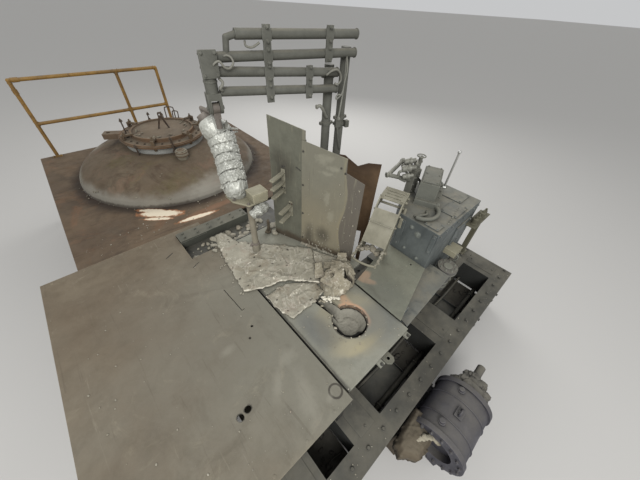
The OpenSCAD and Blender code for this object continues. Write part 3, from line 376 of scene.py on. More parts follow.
def table_marks(t):
    """Straw and orange heat tint in a thin band round the keyhole, pale ash and a dark sooty edge."""
    round_end = (1.045, 0.62, 0.985)
    t.tint(t.ring(round_end, 0.15, 0.30, 0.05, 0.05, 7), (148, 140, 116), 0.55)
    band = t.ring(round_end, 0.146, 0.178, 0.012, 0.02, 10)
    middle = at(*round_end)[0] + 0.25 * at(*round_end)[1]
    far_side = t.ramp(t.math("ADD", t.x, t.mul(t.y, 0.25)), middle + 0.02, middle + 0.12)
    t.tint(t.mul(band, far_side), (192, 154, 124), 0.9)
    for centre, size, turn, tone, amount in (
            ((1.165, 0.85, 0.985), (0.040, 0.19, 1), -0.05, (188, 154, 124), 0.7),
            ((1.22, 0.98, 0.985), (0.07, 0.12, 1), -0.5, (168, 134, 96), 0.6),
            ((0.87, 0.47, 0.985), (0.13, 0.06, 1), -0.4, (166, 158, 132), 0.6),
            ((1.02, 0.40, 0.985), (0.16, 0.035, 1), -0.1, (166, 156, 124), 0.55),
            ((0.78, 0.74, 0.985), (0.10, 0.20, 1), 0.1, (88, 90, 90), 0.55),
            ((1.25, 0.45, 0.985), (0.22, 0.16, 1), 0.1, (104, 106, 102), 0.6)):
        t.tint(t.spot(centre, size, turn, 0.55, 0.4, 9), tone, amount)
    t.tint(t.ring(round_end, 0.148, 0.158, 0.003, 0.008, 24), (48, 42, 36), 0.75)
    t.tint(t.ramp(t.wobble(t.x, 14, 0.010), 0.672 + SITE.x, 0.645 + SITE.x), (40, 37, 33), 0.7)
    t.tint(t.flecks(26, (0.08, 0.15), (4.5, 3), 0.56, 0.62), (196, 190, 174), 0.8)
    t.cloud((6.0, 4, 0.6, 0.4), 0.64, 0.74, 0.3, (158, 158, 148), (1.2, 18.0, 1), 0.9)


def lining_shadow(t):
    """Painted shadow, near black, along the near side of the keyhole's lining and down the near side of its
    slot.
    """
    centre = (1.045, 0.62, 0.985)
    c = at(*centre)
    side = t.math("ADD", t.mul(t.math("SUBTRACT", t.x, c[0]), 0.86),
                  t.mul(t.math("SUBTRACT", t.y, c[1]), 0.51))
    near = t.ramp(side, -0.045, -0.015, 1.0, 0.0)
    gap = t.mul(t.ring(centre, 0.090, 0.16, 0.006, 0.01, 20), near)
    slot_shadow = t.spot((0.985, 0.86, 0.985), (0.016, 0.13, 1), 0.14, 0.3, 0.3, 20)
    # painted shadow: the gap along the near rim and the slot's near side are darkened to near black
    t.tint(t.math("MAXIMUM", gap, slot_shadow), (22, 20, 17))


def plate_marks(t):
    """Dusty olive plate with an orange heat patch at its inner corner, scratches and drips."""
    patch = t.spots((((1.50, 0.86, 1.01), (0.075, 0.055, 1), -0.2),
                     ((1.47, 0.80, 1.01), (0.035, 0.09, 1), 0.5)), soft=0.3, rag=0.3, rag_scale=14)
    t.tint(patch, (184, 152, 124), 0.65)
    t.tint(t.spot((1.45, 0.60, 1.01), (0.18, 0.22, 1), 0.2, 0.8, 0.5, 6), (98, 100, 92), 0.5)
    t.cloud((6.0, 4, 0.6, 0.4), 0.62, 0.74, 0.4, (168, 168, 152), (1.2, 16.0, 1), 0.5)
    t.cloud((4.5, 7, 0.7, 0.8), 0.56, 0.70, 0.4, (84, 82, 70))


def shield_marks(t):
    """Straw stains and pale splashes on the middle sheet, a dark heat-tinted strip with a wavy edge."""
    foot_x, foot_y, _ = at(1.22, 1.94, 0)
    s = t.math("ADD", t.mul(t.math("SUBTRACT", t.x, foot_x), 0.350),
               t.mul(t.math("SUBTRACT", t.y, foot_y), -0.937))
    middle = t.ramp(s, 0.332, 0.342)
    t.tint(middle, (132, 128, 113), 0.55)
    t.tint(t.mul(middle, t.mul(t.ramp(t.wobble(t.z, 4, 0.25), 1.95, 1.25), 0.6)), (140, 131, 108))
    wave = t.math("ADD", s, t.mul(t.math("SINE", t.math("ADD", t.mul(t.z, 9.5), 1.2)), 0.022))
    wave = t.wobble(wave, 9, 0.012)
    t.tint(t.ramp(wave, 0.764, 0.776), (96, 90, 82), 0.88)
    t.tint(t.mul(t.ramp(wave, 0.735, 0.764), t.ramp(wave, 0.764, 0.770, 1, 0)), (150, 138, 106), 0.25)

    def on_sheet(x, z):
        return tuple(SHIELD(x, 0, z) / 1000)

    pale = t.spots([(on_sheet(x, z), (w, w, h), 0) for x, z, w, h in (
        (528, 2010, 0.045, 0.040), (585, 2035, 0.040, 0.026), (640, 1962, 0.055, 0.022),
        (600, 1660, 0.024, 0.070), (650, 1470, 0.030, 0.060), (575, 1900, 0.060, 0.020))],
        soft=0.6, rag=1.6, rag_scale=30)
    t.tint(pale, (160, 157, 140), 0.32)
    dark = t.spots([(on_sheet(x, z), (w, w, h), 0) for x, z, w, h in (
        (96, 1900, 0.07, 0.10), (150, 1820, 0.10, 0.12), (578, 1200, 0.07, 0.09), (430, 1120, 0.05, 0.14))],
        soft=0.8, rag=0.5, rag_scale=12)
    t.tint(dark, (62, 58, 50), 0.7)
    t.cloud((4.0, 6, 0.65, 0.5), 0.56, 0.72, 0.4, (150, 146, 122), (9.0, 9.0, 0.8))
    t.cloud((5.0, 6, 0.65, 0.3), 0.60, 0.74, 0.4, (78, 74, 62), (12.0, 12.0, 0.5), 0, (4, 2, 0))
    t.tint(t.ramp(t.wobble(t.z, 12, 0.05), 1.10, 1.02), (70, 54, 38), 0.7)


def rear_marks(t):
    """Burnt top of the rear sheet."""
    t.tint(t.ramp(t.wobble(t.z, 6, 0.08), 1.70, 1.82), (52, 36, 26), 0.7)


def crust_marks(t):
    """Dross: chalky ridges and flecks over brown, rosy and grey blotches."""
    for scale, shift, lo, tone, much in (
            (4.5, 0, 0.50, (128, 118, 99), 0.6), (6.5, 3, 0.52, (150, 136, 122), 0.5),
            (3.6, 7, 0.54, (116, 113, 101), 0.6), (17, 5, 0.58, (104, 94, 76), 0.4)):
        t.cloud((scale, 8, 0.72, 0.8), lo, lo + 0.13, much, tone, (1, 1, 1), 0, (shift, shift, 0))
    vein = t.math("ABSOLUTE", t.math("SUBTRACT", t.noise(5.2, 7, 0.62, 0.6), 0.5))
    t.tint(t.ramp(vein, 0.004, 0.020, 0.3, 0.0), CHALK)
    fleck = t.mul(t.ramp(t.noise(46, 6, 0.75), 0.58, 0.68), t.ramp(t.noise(5, 4), 0.45, 0.60))
    t.tint(fleck, (206, 202, 188), 0.5)
    t.tint(t.ramp(t.attribute("ridge"), 0.05, 0.7), (222, 216, 198))
    # dark pits of the dross; on the cup this also lays painted shade in its gap and arched hole
    t.tint(t.ramp(t.attribute("pit"), 0.1, 0.9, 0.0, 0.9), (44, 36, 28))


def foil_marks(t):
    """Foil painted bright on its ridges as a painted highlight and grey in its low creases as painted shade,
    tan dust in clouds, and painted shade at the pinches of the ties.
    """
    ridge = t.attribute("ridge")
    t.tint(t.ramp(ridge, 0.50, 0.95, 0.0, 0.5), (222, 222, 214))
    t.tint(t.ramp(ridge, 0.34, 0.10, 0.0, 0.6), (128, 126, 116))
    t.cloud((6, 6, 0.7), 0.54, 0.70, 0.5, (142, 134, 116))
    t.tint(t.ramp(t.attribute("pit"), 0.1, 0.9, 0.0, 0.85), (78, 74, 64))


def block_marks(t):
    """Blue-grey paint on the low face with pale round rubs, olive dust above."""
    rubs = t.spots([((2.07, y, z), (0.05, wide, tall), 0) for y, z, wide, tall in (
        (0.80, 1.365, 0.022, 0.022), (0.72, 1.318, 0.032, 0.034), (0.80, 1.083, 0.016, 0.016),
        (0.64, 1.046, 0.018, 0.018))], soft=0.4, rag=0.35, rag_scale=30)
    t.tint(rubs, (140, 144, 134), 0.55)
    t.cloud((2.4, 6, 0.7, 0.5), 0.52, 0.68, 0.5, (64, 69, 69), (3, 3, 0.7))


# Each material: main colour, second colour, and how worn it is.
FINISHES = {
    "bed_steel": ((56, 57, 54), (42, 42, 39), dict(rust=0.15, chalk=0.3, dust=0.4, wear=0.35)),
    "tray_steel": ((62, 65, 64), (44, 46, 46), dict(rust=0.1, chalk=0.4, rough=0.55, dust=0.4, wear=0.35)),
    "drum_paint": ((76, 75, 82), (60, 59, 66), dict(rust=0.1, dust=0.3, wear=0.4, rough=0.6)),
    "cap_steel": ((112, 110, 106), (84, 82, 78), dict(rust=0.15, dust=0.5, rough=0.6, metal=0.2)),
    "frame_steel": ((64, 63, 58), (50, 48, 44), dict(rust=0.25, dust=0.3, wear=0.3)),
    "deck_plate": ((116, 106, 88), (102, 91, 74), dict(
        rust=0.04, dust=0.12, wear=0.5, rough=0.78, soot=0.22, extra=deck_marks, painted_shade=0.5)),
    "furnace_plate": ((100, 82, 62), (80, 64, 48), dict(
        rust=0.12, dust=0.10, wear=0.25, rough=0.84, soot=0.4, extra=furnace_deck_marks)),
    "shell_steel": ((64, 58, 52), (48, 43, 38), dict(rust=0.45, dust=0.2)),
    "dome_refractory": ((98, 84, 66), (82, 67, 50), dict(
        rust=0.08, dust=0.12, wear=0.0, rough=0.9, bump=0.007, extra=dome_marks)),
    "neck_refractory": ((172, 172, 166), (142, 140, 132), dict(
        dust=0.1, wear=0.0, rough=0.92, soot=0.4, bump=0.005, painted_shade=0.8)),
    "lid_rust": ((104, 87, 68), (84, 68, 52), dict(
        rust=0.14, dust=0.3, wear=0.3, rough=0.85, soot=0.4, extra=lid_marks)),
    "handle_rust": ((74, 60, 47), (56, 45, 36), dict(rust=0.2, dust=0.25, wear=0.3, rough=0.85)),
    "clamp_rust": ((96, 80, 60), (74, 60, 45), dict(rust=0.2, dust=0.3, wear=0.3, rough=0.85)),
    "spout_refractory": ((148, 142, 126), (116, 106, 88), dict(dust=0.2, wear=0.0, rough=0.9, soot=0.4)),
    "rail_ochre": ((148, 112, 48), (112, 84, 42), dict(
        rust=0.4, dust=0.25, wear=0.4, rough=0.62, scale=3.0, soot=0.45)),
    "launder_steel": ((88, 89, 79), (68, 69, 61), dict(rust=0.08, dust=0.4, wear=0.5, chalk=0.4)),
    "block_blue": ((101, 106, 104), (86, 92, 92), dict(
        rust=0.04, dust=0.8, wear=0.5, rough=0.56, soot=0.25, extra=block_marks)),
    "table_steel": ((142, 142, 130), (128, 128, 116), dict(
        rust=0.03, dust=0.35, wear=0.4, rough=0.72, soot=0.2, painted_shade=0.35, extra=table_marks)),
    "basin_refractory": ((60, 56, 50), (40, 37, 33), dict(
        dust=0.05, wear=0.0, rough=0.95, soot=0.6, bump=0.006)),
    "lining_pale": ((150, 147, 134), (130, 126, 114), dict(
        dust=0.1, wear=0.0, rough=0.92, soot=0.25, bump=0.006, painted_shade=0.3, extra=lining_shadow)),
    "plate_steel": ((128, 130, 115), (113, 114, 100), dict(
        rust=0.05, dust=0.3, wear=0.5, rough=0.66, metal=0.1, extra=plate_marks)),
    "crust_sheet": ((164, 159, 143), (146, 141, 125), dict(
        dust=0.1, wear=0.0, rough=0.92, bump=0.003, extra=crust_marks, soot=0.1, painted_shade=0.3)),
    "shield_sheet": ((106, 106, 93), (92, 91, 79), dict(
        rust=0.05, dust=0.1, wear=0.6, rough=0.66, soot=0.2, extra=shield_marks, wear_color=(150, 146, 124))),
    "rust_sheet": ((102, 80, 56), (80, 62, 43), dict(
        rust=0.2, dust=0.1, wear=0.3, rough=0.86, extra=rear_marks)),
    "arm_tan": ((150, 146, 128), (130, 126, 108), dict(rust=0.08, dust=0.3, wear=0.6, rough=0.7, soot=0.3)),
    "gantry_grey": ((104, 104, 96), (88, 88, 80), dict(
        rust=0.08, dust=0.45, wear=0.35, rough=0.76, bump=0.004)),
    "arm_steel": ((130, 122, 114), (102, 94, 86), dict(rust=0.15, dust=0.3, rough=0.6, metal=0.2)),
    "foil_wrap": ((196, 197, 188), (172, 172, 162), dict(
        dust=0.05, wear=0.0, rough=0.48, metal=0.3, soot=0.2, bump=0.003, extra=foil_marks)),
    "box_cream": ((160, 155, 132), (138, 132, 110), dict(rust=0.05, dust=0.2, wear=0.5, rough=0.66)),
    "pipe_pale": ((146, 140, 124), (120, 112, 96), dict(rust=0.1, dust=0.25, wear=0.1, rough=0.82)),
    "hood_grey": ((118, 119, 110), (100, 101, 92), dict(rust=0.04, dust=0.4, wear=0.5)),
    "valve_metal": ((144, 144, 134), (116, 115, 105), dict(dust=0.35, wear=0.4, rough=0.55, metal=0.25)),
    "lever_steel": ((196, 196, 192), (170, 170, 164), dict(dust=0.05, wear=0.2, rough=0.32, metal=0.6)),
    "cup_crust": ((172, 165, 146), (150, 142, 122), dict(
        dust=0.05, wear=0.0, rough=0.94, bump=0.008, extra=crust_marks, soot=0.3)),
    "black_steel": ((40, 37, 33), (28, 26, 23), dict(dust=0.25, rust=0.1, wear=0.3, rough=0.75)),
    "bracket_olive": ((96, 93, 74), (78, 75, 60), dict(dust=0.35, rust=0.1, wear=0.4, rough=0.7)),
    "brown_lump": ((94, 84, 68), (70, 60, 48), dict(dust=0.2, wear=0.0, rough=0.95, bump=0.01)),
    "hose_grey": ((150, 150, 140), (120, 118, 108), dict(dust=0.3, wear=0.0, rough=0.7)),
}
MATS = {name: worn(name, rgb(*base), rgb(*second), **how) for name, (base, second, how) in FINISHES.items()}

for part in frame["record"]["subparts"]:
    node = NODES[part["node"]]
    node.data.materials.clear()
    node.data.materials.append(MATS[part["material_slot"]])


# Forms
def smooth_path(points, step=10.0):
    """A curve through points, in steps of about the given length."""
    pts = [Vector(p) for p in points]
    ends = [2 * pts[0] - pts[1], *pts, 2 * pts[-1] - pts[-2]]
    out = []
    for a, b, c, d in zip(ends, ends[1:], ends[2:], ends[3:]):
        n = max(1, round((c - b).length / step))
        for k in range(n):
            t = k / n
            out.append(0.5 * (2 * b + (c - a) * t + (2 * a - 5 * b + 4 * c - d) * t * t
                              + (3 * b - a - 3 * c + d) * t ** 3))
    return out + [pts[-1]]


def along(path):
    """Direction and two sides at each point of a path, without twist."""
    last = len(path) - 1
    side = None
    for i in range(last + 1):
        t = (path[min(i + 1, last)] - path[max(i - 1, 0)]).normalized()
        side = side or t.orthogonal()
        side = (side - t * side.dot(t)).normalized()
        yield t, side, t.cross(side)


def arc(centre, r, u, v, turns, n):
    """Points on a circle about a centre: u and v span its plane, turns are its two angles in radians."""
    a0, a1 = turns
    angles = (a0 + (a1 - a0) * k / n for k in range(n + 1))
    return [Vector(centre) + r * (math.cos(a) * Vector(u) + math.sin(a) * Vector(v)) for a in angles]


def hoop(centre, r, n, u=EAST, v=NORTH, start=0.0):
    """Points spaced evenly round a circle; the last is the first again."""
    return arc(centre, r, u, v, (start, start + TAU), n)


def fbm(p, size, octaves=4, shift=0.0):
    """Soft noise of about -1 to 1; size is the width of its largest forms in millimetres."""
    return noise.fractal(Vector(p) / size + Vector((shift, shift * 1.7, shift * 0.3)), 0.9, 2.1, octaves)


def creases(p, size, shift=0.0):
    """0 along sharp crease lines, rising to about 1 inside the facets between them."""
    d = noise.voronoi(Vector(p) / size + Vector((shift, 0, shift)))[0]
    return min(1.0, (d[1] - d[0]) * 1.8)


def in_outline(x, y, outline):
    inside = False
    for (x0, y0), (x1, y1) in zip(outline, outline[1:] + outline[:1]):
        if (y0 > y) != (y1 > y) and x < (x1 - x0) * (y - y0) / (y1 - y0) + x0:
            inside = not inside
    return inside


def edge_distance(x, y, outline, part=None):
    best = 1e9
    pairs = list(zip(outline, outline[1:] + outline[:1]))
    for (x0, y0), (x1, y1) in (pairs if part is None else [pairs[i] for i in part]):
        dx, dy = x1 - x0, y1 - y0
        t = max(0.0, min(1.0, ((x - x0) * dx + (y - y0) * dy) / (dx * dx + dy * dy)))
        best = min(best, math.hypot(x - x0 - t * dx, y - y0 - t * dy))
    return best


def level(z):
    """A flat face for a sheet."""
    return lambda x, y, d: z


class Forms:
    """One piece of the scene, gathered from forms that are given in site millimetres."""

    def __init__(self):
        self.bm = bmesh.new()
        self.ridge, self.pit = (self.bm.verts.layers.float.new(name) for name in ("ridge", "pit"))

    def skin(self, rows, caps=True, smooth=True):
        """A skin over rings of points."""
        bm = self.bm
        rings = [[bm.verts.new(p) for p in row] for row in rows]
        n = len(rings[0])
        for a, b in zip(rings, rings[1:]):
            for k in range(n):
                bm.faces.new((a[k], a[(k + 1) % n], b[(k + 1) % n], b[k])).smooth = smooth
        if caps:
            bm.faces.new(rings[0][::-1])
            bm.faces.new(rings[-1])
        return rings

    def tube(self, points, radius, sides=10, step=10.0, curve=True, rough=0.0):
        path = smooth_path(points, step) if curve else [Vector(p) for p in points]
        rows = []
        for i, (p, (_, u, v)) in enumerate(zip(path, along(path))):
            r = radius(i / max(1, len(path) - 1)) if callable(radius) else radius
            row = []
            for k in range(sides):
                a = TAU * k / sides
                q = p + r * (math.cos(a) * u + math.sin(a) * v)
                row.append(q + (q - p).normalized() * rough * fbm(q, 18, 3) if rough else q)
            rows.append(row)
        return self.skin(rows)

    def lathe(self, centre, axis, profile, sides=24, turn=0.0, smooth=False):
        """A turned form: profile is a list of (radius, height along the axis)."""
        axis = Vector(axis).normalized()
        u = axis.orthogonal().normalized()
        v = axis.cross(u)
        rows = []
        for r, h in profile:
            base = Vector(centre) + axis * h
            angles = (turn + TAU * k / sides for k in range(sides))
            rows.append([base + max(r, 0.05) * (math.cos(a) * u + math.sin(a) * v) for a in angles])
        return self.skin(rows, smooth=smooth)

    def collar(self, centre, axis, inner, outer, tall, sides=36, edge=2):
        """A ring round a bar, with chamfered edges."""
        self.lathe(centre, axis, [(inner, 0), (outer, edge), (outer, tall - edge), (inner, tall)], sides)

    def bolt(self, centre, axis=UP, across=24.0, tall=None, stud=0.0):
        """Washer, chamfered hexagon head and, where stud is set, a threaded end that stands out of it."""
        tall = tall or across * 0.62
        r = across / math.sqrt(3)
        turn = rng.uniform(0, 1)
        self.lathe(centre, axis, [(r * 1.28, 0), (r * 1.28, across * 0.10), (r * 1.2, across * 0.14)], 18)
        head = [(r * 0.96, across * 0.14), (r, across * 0.2), (r, tall), (r * 0.86, tall + across * 0.1)]
        self.lathe(centre, axis, head, 6, turn)
        if stud:
            ribs = [(across * (0.27 if k % 2 else 0.23), tall + stud * k / 8) for k in range(9)]
            self.lathe(centre, axis, ribs, 10)

    def bolts(self, centres, axis=UP, across=24.0, **how):
        for centre in centres:
            self.bolt(centre, axis, across, **how)

    def block(self, centre, size, axes=None, bevel=2.0):
        """A box with rounded edges; axes are its own three directions."""
        x, y, z = (Vector(a) for a in axes) if axes else (EAST, NORTH, UP)
        made = bmesh.ops.create_cube(self.bm, size=1.0)["verts"]
        for v in made:
            v.co = Vector(centre) + x * v.co.x * size[0] + y * v.co.y * size[1] + z * v.co.z * size[2]
        if bevel:
            rims = list({e for v in made for e in v.link_edges})
            bmesh.ops.bevel(self.bm, geom=rims, offset=bevel, segments=2, affect="EDGES", profile=0.6)

    def weld(self, points, step, r):
        """A weld bead with its ripples."""
        def ripple(t):
            return r * (1.0 + 0.22 * math.sin(t * 900) + rng.uniform(-0.12, 0.12))
        self.tube(smooth_path(points, step), ripple, 6, curve=False)

    def lump(self, centre, size, rough=0.3, sub=3):
        made = bmesh.ops.create_icosphere(self.bm, subdivisions=sub, radius=1.0)["verts"]
        shift = rng.uniform(0, 50)
        spin = Matrix.Rotation(rng.uniform(0, 6.28), 3, "Z")
        for v in made:
            d = v.co * 60
            k = 1 + rough * fbm(d, 60, 3, shift) + 0.5 * rough * fbm(d, 30, 3, shift)
            v.co = Vector(centre) + spin @ (v.co * Vector(size)) * k
            for f in v.link_faces:
                f.smooth = sub > 1
        return made

    def crumb(self, centre, s, stretch, rough=0.5, sub=2):
        """A lump whose three sizes are shares of one."""
        return self.lump(centre, [s * k for k in stretch], rough, sub)

    def rag(self, outline, step, high, low, ragged=6.0, marks=None):
        """A sheet over an outline, closed at its edge: high and low give the height of its two faces."""
        rim = []
        for (x0, y0), (x1, y1) in zip(outline, outline[1:] + outline[:1]):
            n = max(1, round(math.hypot(x1 - x0, y1 - y0) / step))
            for k in range(n):
                x, y = x0 + (x1 - x0) * k / n, y0 + (y1 - y0) * k / n
                rim.append((x + ragged * fbm((x, y, 0), 45, 4, 3), y + ragged * fbm((x, y, 9), 45, 4, 8)))
        points = list(rim)
        xs, ys = [p[0] for p in rim], [p[1] for p in rim]
        y, odd = min(ys), 0
        while y < max(ys):
            x = min(xs) + odd * step / 2
            while x < max(xs):
                qx, qy = x + rng.uniform(-0.2, 0.2) * step, y + rng.uniform(-0.2, 0.2) * step
                if in_outline(qx, qy, rim) and edge_distance(qx, qy, rim) > step * 0.6:
                    points.append((qx, qy))
                x += step
            y += step * 0.87
            odd = 1 - odd
        flat, _, tris, *_ = delaunay_2d_cdt([Vector(p) for p in points], [], [list(range(len(rim)))], 1, 1e-4)
        bm = self.bm
        far = [edge_distance(p.x, p.y, outline) for p in flat]
        top = [bm.verts.new((p.x, p.y, high(p.x, p.y, d))) for p, d in zip(flat, far)]
        base = [bm.verts.new((p.x, p.y, low(p.x, p.y, d))) for p, d in zip(flat, far)]
        if marks:
            for v, d in zip(top, far):
                v[self.ridge], v[self.pit] = marks(v.co, d)
        sides = {}
        for tri in tris:
            bm.faces.new([top[i] for i in tri]).smooth = True
            bm.faces.new([base[i] for i in reversed(tri)]).smooth = True
            for pair in zip(tri, tri[1:] + tri[:1]):
                sides[pair] = True
        for a, b in sides:
            if (b, a) not in sides:
                bm.faces.new((top[b], top[a], base[a], base[b])).smooth = True

    def piece(self, name, mat, body="machine", replaces=()):
        me = bpy.data.meshes.new(name)
        bmesh.ops.recalc_face_normals(self.bm, faces=self.bm.faces[:])
        self.bm.to_mesh(me)
        self.bm.free()
        me.transform(Matrix.Translation(SITE) @ Matrix.Scale(0.001, 4))
        ob = bpy.data.objects.new(name, me)
        SCENE.collection.objects.link(ob)
        me.materials.append(MATS[mat])
        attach(ob, body)
        if replaces:
            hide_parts(*replaces)


# Foil on the dosing arm
WRAP = [PIN + Vector(p) for p in (
    (-11, 204, -140), (9, 162, -200), (46, 134, -270), (38, 75, -340), (24, 18, -410), (3, -46, -470),
    (-23, -121, -530), (-49, -201, -590), (-53, -216, -635), (-53, -216, -678))]
WRAP_PATH = smooth_path(WRAP, 4.6)
WRAP_R = [86, 106, 122, 116, 110, 110, 111, 110, 102, 94]
BANDS = [0.0, 0.23, 0.37, 0.50, 0.62, 0.74, 0.86, 1.0]


def wrap_radius(t):
    """Radius under the foil at a share of the arm's length."""
    k = t * (len(WRAP_R) - 1)
    j = min(int(k), len(WRAP_R) - 2)
    return WRAP_R[j] + (WRAP_R[j + 1] - WRAP_R[j]) * (k - j) - 3


def crumple(q, k=1.0):
    """Height of crumpled foil at a point, with the share of it that is a ridge."""
    a, b = creases(q, 46, 1.0), creases(q, 23, 5.0)
    h = 7.0 * (1 - a) ** 3 - 4.0 * (1 - b) ** 3 + 9 * abs(fbm(q, 30, 3, 2)) + 1.4 * fbm(q, 9, 2) - 2
    return k * h, max(0.0, min(1.0, 0.48 + 0.05 * h))


def foil_wrap():
    """Crumpled foil in overlapping bands round the arm, pinched at the ties and tucked in at both ends."""
    f = Forms()
    path, sides = WRAP_PATH, 130
    rows, marks = [], []
    for i, (p, (_, u, v)) in enumerate(zip(path, along(path))):
        t = i / (len(path) - 1)
        row = []
        for s in range(sides):
            a = TAU * s / sides
            d = math.cos(a) * u + math.sin(a) * v
            q = p + wrap_radius(t) * d
            wave = 0.018 * fbm((math.cos(a) * 40, math.sin(a) * 40, 7), 45, 3)
            tt = t + wave + 0.012 * math.sin(a + 5 * t)
            band = max(b for b in BANDS if b <= max(0.0, tt))
            after = BANDS[min(BANDS.index(band) + 1, len(BANDS) - 1)]
            part = (tt - band) / max(1e-6, after - band)
            belly = math.sin(math.pi * min(1.0, max(0.0, part))) ** 0.7
            hem = 7.0 * max(0.0, 1 - part * 6) if band > 0 else 0.0
            pinch = -9.0 * max(0.0, (part - 0.86) / 0.14) if after < 1 else 0.0
            h, ridge = crumple(q, 1.0 if t > 0.22 else 0.55)
            lap = 5.0 if 0.9 < a < 2.3 + 0.5 * math.sin(9 * t) else 0.0
            fade = min(1.0, (1 - t) * 14, t * 20 + 0.2)
            lift = (belly * 5 - hem * 0.4 + pinch + lap) * fade + h * min(1.0, fade + 0.35)
            row.append(q + d * lift)
            # ridge carries the crumple height that becomes painted highlight and shade on the foil; pit marks
            # the tie pinches for painted shade
            marks.append((ridge, 1.0 if pinch < -6 else 0.0))
        rows.append(row)
    rings = f.skin(rows, caps=False)
    for v, (ridge, pit) in zip((v for ring in rings for v in ring), marks):
        v[f.ridge], v[f.pit] = ridge, pit
    for ring, p, back in ((rings[0], path[0], 1), (rings[-1], path[-1], -1)):
        tuck = (path[1] - path[0]) * back * 1.5
        inner = [f.bm.verts.new(p + (v.co - p) * 0.72 + tuck * (i % 3)) for i, v in enumerate(ring)]
        hub = f.bm.verts.new(p)
        for k in range(sides):
            after = (k + 1) % sides
            f.bm.faces.new((ring[k], ring[after], inner[after], inner[k])).smooth = True
            f.bm.faces.new((inner[k], inner[after], hub))
    f.piece("foil_wrap", "foil_wrap", "dosing_arm", ["wrapped_arm"])


def foil_strip(f, start, way, out, length, width, curl, seed, thick=2.2):
    """A torn strip that stands off its carrier, with two faces."""
    way, out = Vector(way).normalized(), Vector(out).normalized()
    side = way.cross(out).normalized()
    rows, n = [], 26
    for i in range(n + 1):
        t = i / n
        row = []
        for k in range(13):
            w = (k / 12 - 0.5) * width * (1 - 0.25 * t + 0.2 * fbm((t * 80, seed * 31, 0), 30))
            q = Vector(start) + way * length * t + out * curl * t * t + side * w
            row.append(q + out * (5 * fbm(q, 22, 3, seed) + 4 * creases(q, 16, seed)))
        rows.append(row + [p - out * thick for p in reversed(row)])
    f.skin(rows)


def foil_ends():
    """Torn strips at the top and foot of the wrap, and the foil bundle on the sensor plate."""
    f = Forms()
    right = Vector((0.7071, -0.7071, 0))
    for start, way, out, length, width, curl, seed in (
            (WRAP[2] + right * 96 + UP * 60, (0.8, -0.5, 0.25), UP, 78, 46, -22, 1),
            (WRAP[2] + right * 98 + Vector((10, 10, 25)), (0.9, -0.4, -0.15), UP, 64, 34, 14, 2),
            (WRAP[2] + right * 60 + Vector((-30, -30, 84)), (0.5, -0.6, 0.7), (-0.4, -0.5, 0.6),
             70, 50, 16, 3),
            (PIN + Vector((-150, -190, -560)), (-0.7, -0.4, -0.3), (-0.4, -0.4, 0.6), 40, 40, -10, 4)):
        foil_strip(f, start, way, out, length, width, curl, seed)
    rows, sides = [], 64
    path = smooth_path([(858, 1742, 1516), (902, 1738, 1540), (950, 1745, 1548), (1003, 1768, 1536),
                        (1046, 1800, 1516)], 3.5)
    for i, (p, (_, u, v)) in enumerate(zip(path, along(path))):
        t = i / (len(path) - 1)
        r = 28 + 20 * math.sin(math.pi * t) + 5 * math.sin(t * 22)
        row = []
        for s in range(sides):
            a = TAU * s / sides
            d = math.cos(a) * u + math.sin(a) * v
            q = p + r * d
            row.append(q + d * (crumple(q * 1.6, 0.9)[0] - 4 + 9 * abs(fbm(q, 26, 3, 4))))
        rows.append(row)
    for ring in f.skin(rows):
        for v in ring:
            v[f.ridge] = 0.5 + 0.5 * fbm(v.co, 14, 2)
    f.piece("foil_ends", "foil_wrap", "dosing_arm")


PLATE_Z = 1612
PIPE_X, PIPE_Y = 889.5, 1810.6


def arm_details():
    """Wire ties on the wrap, bolts on the foot plate and box, and the collar clamp of the drop pipe."""
    f = Forms()
    path = WRAP_PATH
    sides = list(along(path))
    for t in (0.235, 0.50, 0.745, 0.865):
        i = int(t * (len(path) - 1))
        p, (_, u, v) = path[i], sides[i]
        ring = []
        for s in range(41):
            a = TAU * s / 40
            slack = 2 * fbm((math.cos(a) * 50, math.sin(a) * 50, t * 99), 40)
            ring.append(p + (wrap_radius(t) + 1.5 + slack) * (math.cos(a) * u + math.sin(a) * v))
        f.tube(ring, 1.8, 6, curve=False)
    f.piece("wire_ties", "black_steel", "dosing_arm")
    f = Forms()
    holes = ((-128, -290), (-60, -425), (-128, -190))
    f.bolts([(PIN.x + x, PIN.y + y, PLATE_Z) for x, y in holes], UP, 19, stud=8)
    for z in (1120, 1590):
        f.collar((PIPE_X, PIPE_Y, z - 12), UP, 34, 41, 22, 28)
    f.block((848, PIPE_Y, 1112), (26, 20, 30), bevel=3)
    f.bolt((835, PIPE_Y, 1112), WEST, 13, stud=10)
    f.piece("arm_fittings", "arm_steel", "dosing_arm")


def sensor_box():
    """Sensor box with its lid, and the foot plate cut close to the wrap."""
    f = Forms()
    base = Vector((PIN.x, PIN.y, PLATE_Z))
    plate = [(-104, -128), (-4, -128), (20, -300), (126, -322), (126, -448), (-70, -448), (-92, -400),
             (-150, -300), (-150, -170)]
    f.rag([(base.x + x, base.y + y) for x, y in plate], 14, level(PLATE_Z - 0.2), level(PLATE_Z - 15.8), 0.6)
    for z, size, bevel in ((42, (151, 126, 80), 6), (84, (155, 130, 10), 3), (76.5, (149, 124, 3), 0)):
        f.block(base + Vector((52.5, -390, z)), size, bevel=bevel)
    for x in (-12, 117):
        for y in (-444, -336):
            f.lathe(base + Vector((x, y, 88)), UP, [(5.5, 0), (5.5, 3), (3.5, 4.5)], 14)
    f.lathe(base + Vector((129, -400, 40)), EAST, [(16, 0), (16, 6), (12, 7), (12, 18), (8, 20)], 18)
    for x, y in ((-30, -300), (20, -350)):
        f.block(base + Vector((x, y, 4)), (60, 8, 10), bevel=2)
    f.piece("sensor_box_cover", "box_cream", "dosing_arm", ["sensor_box"])


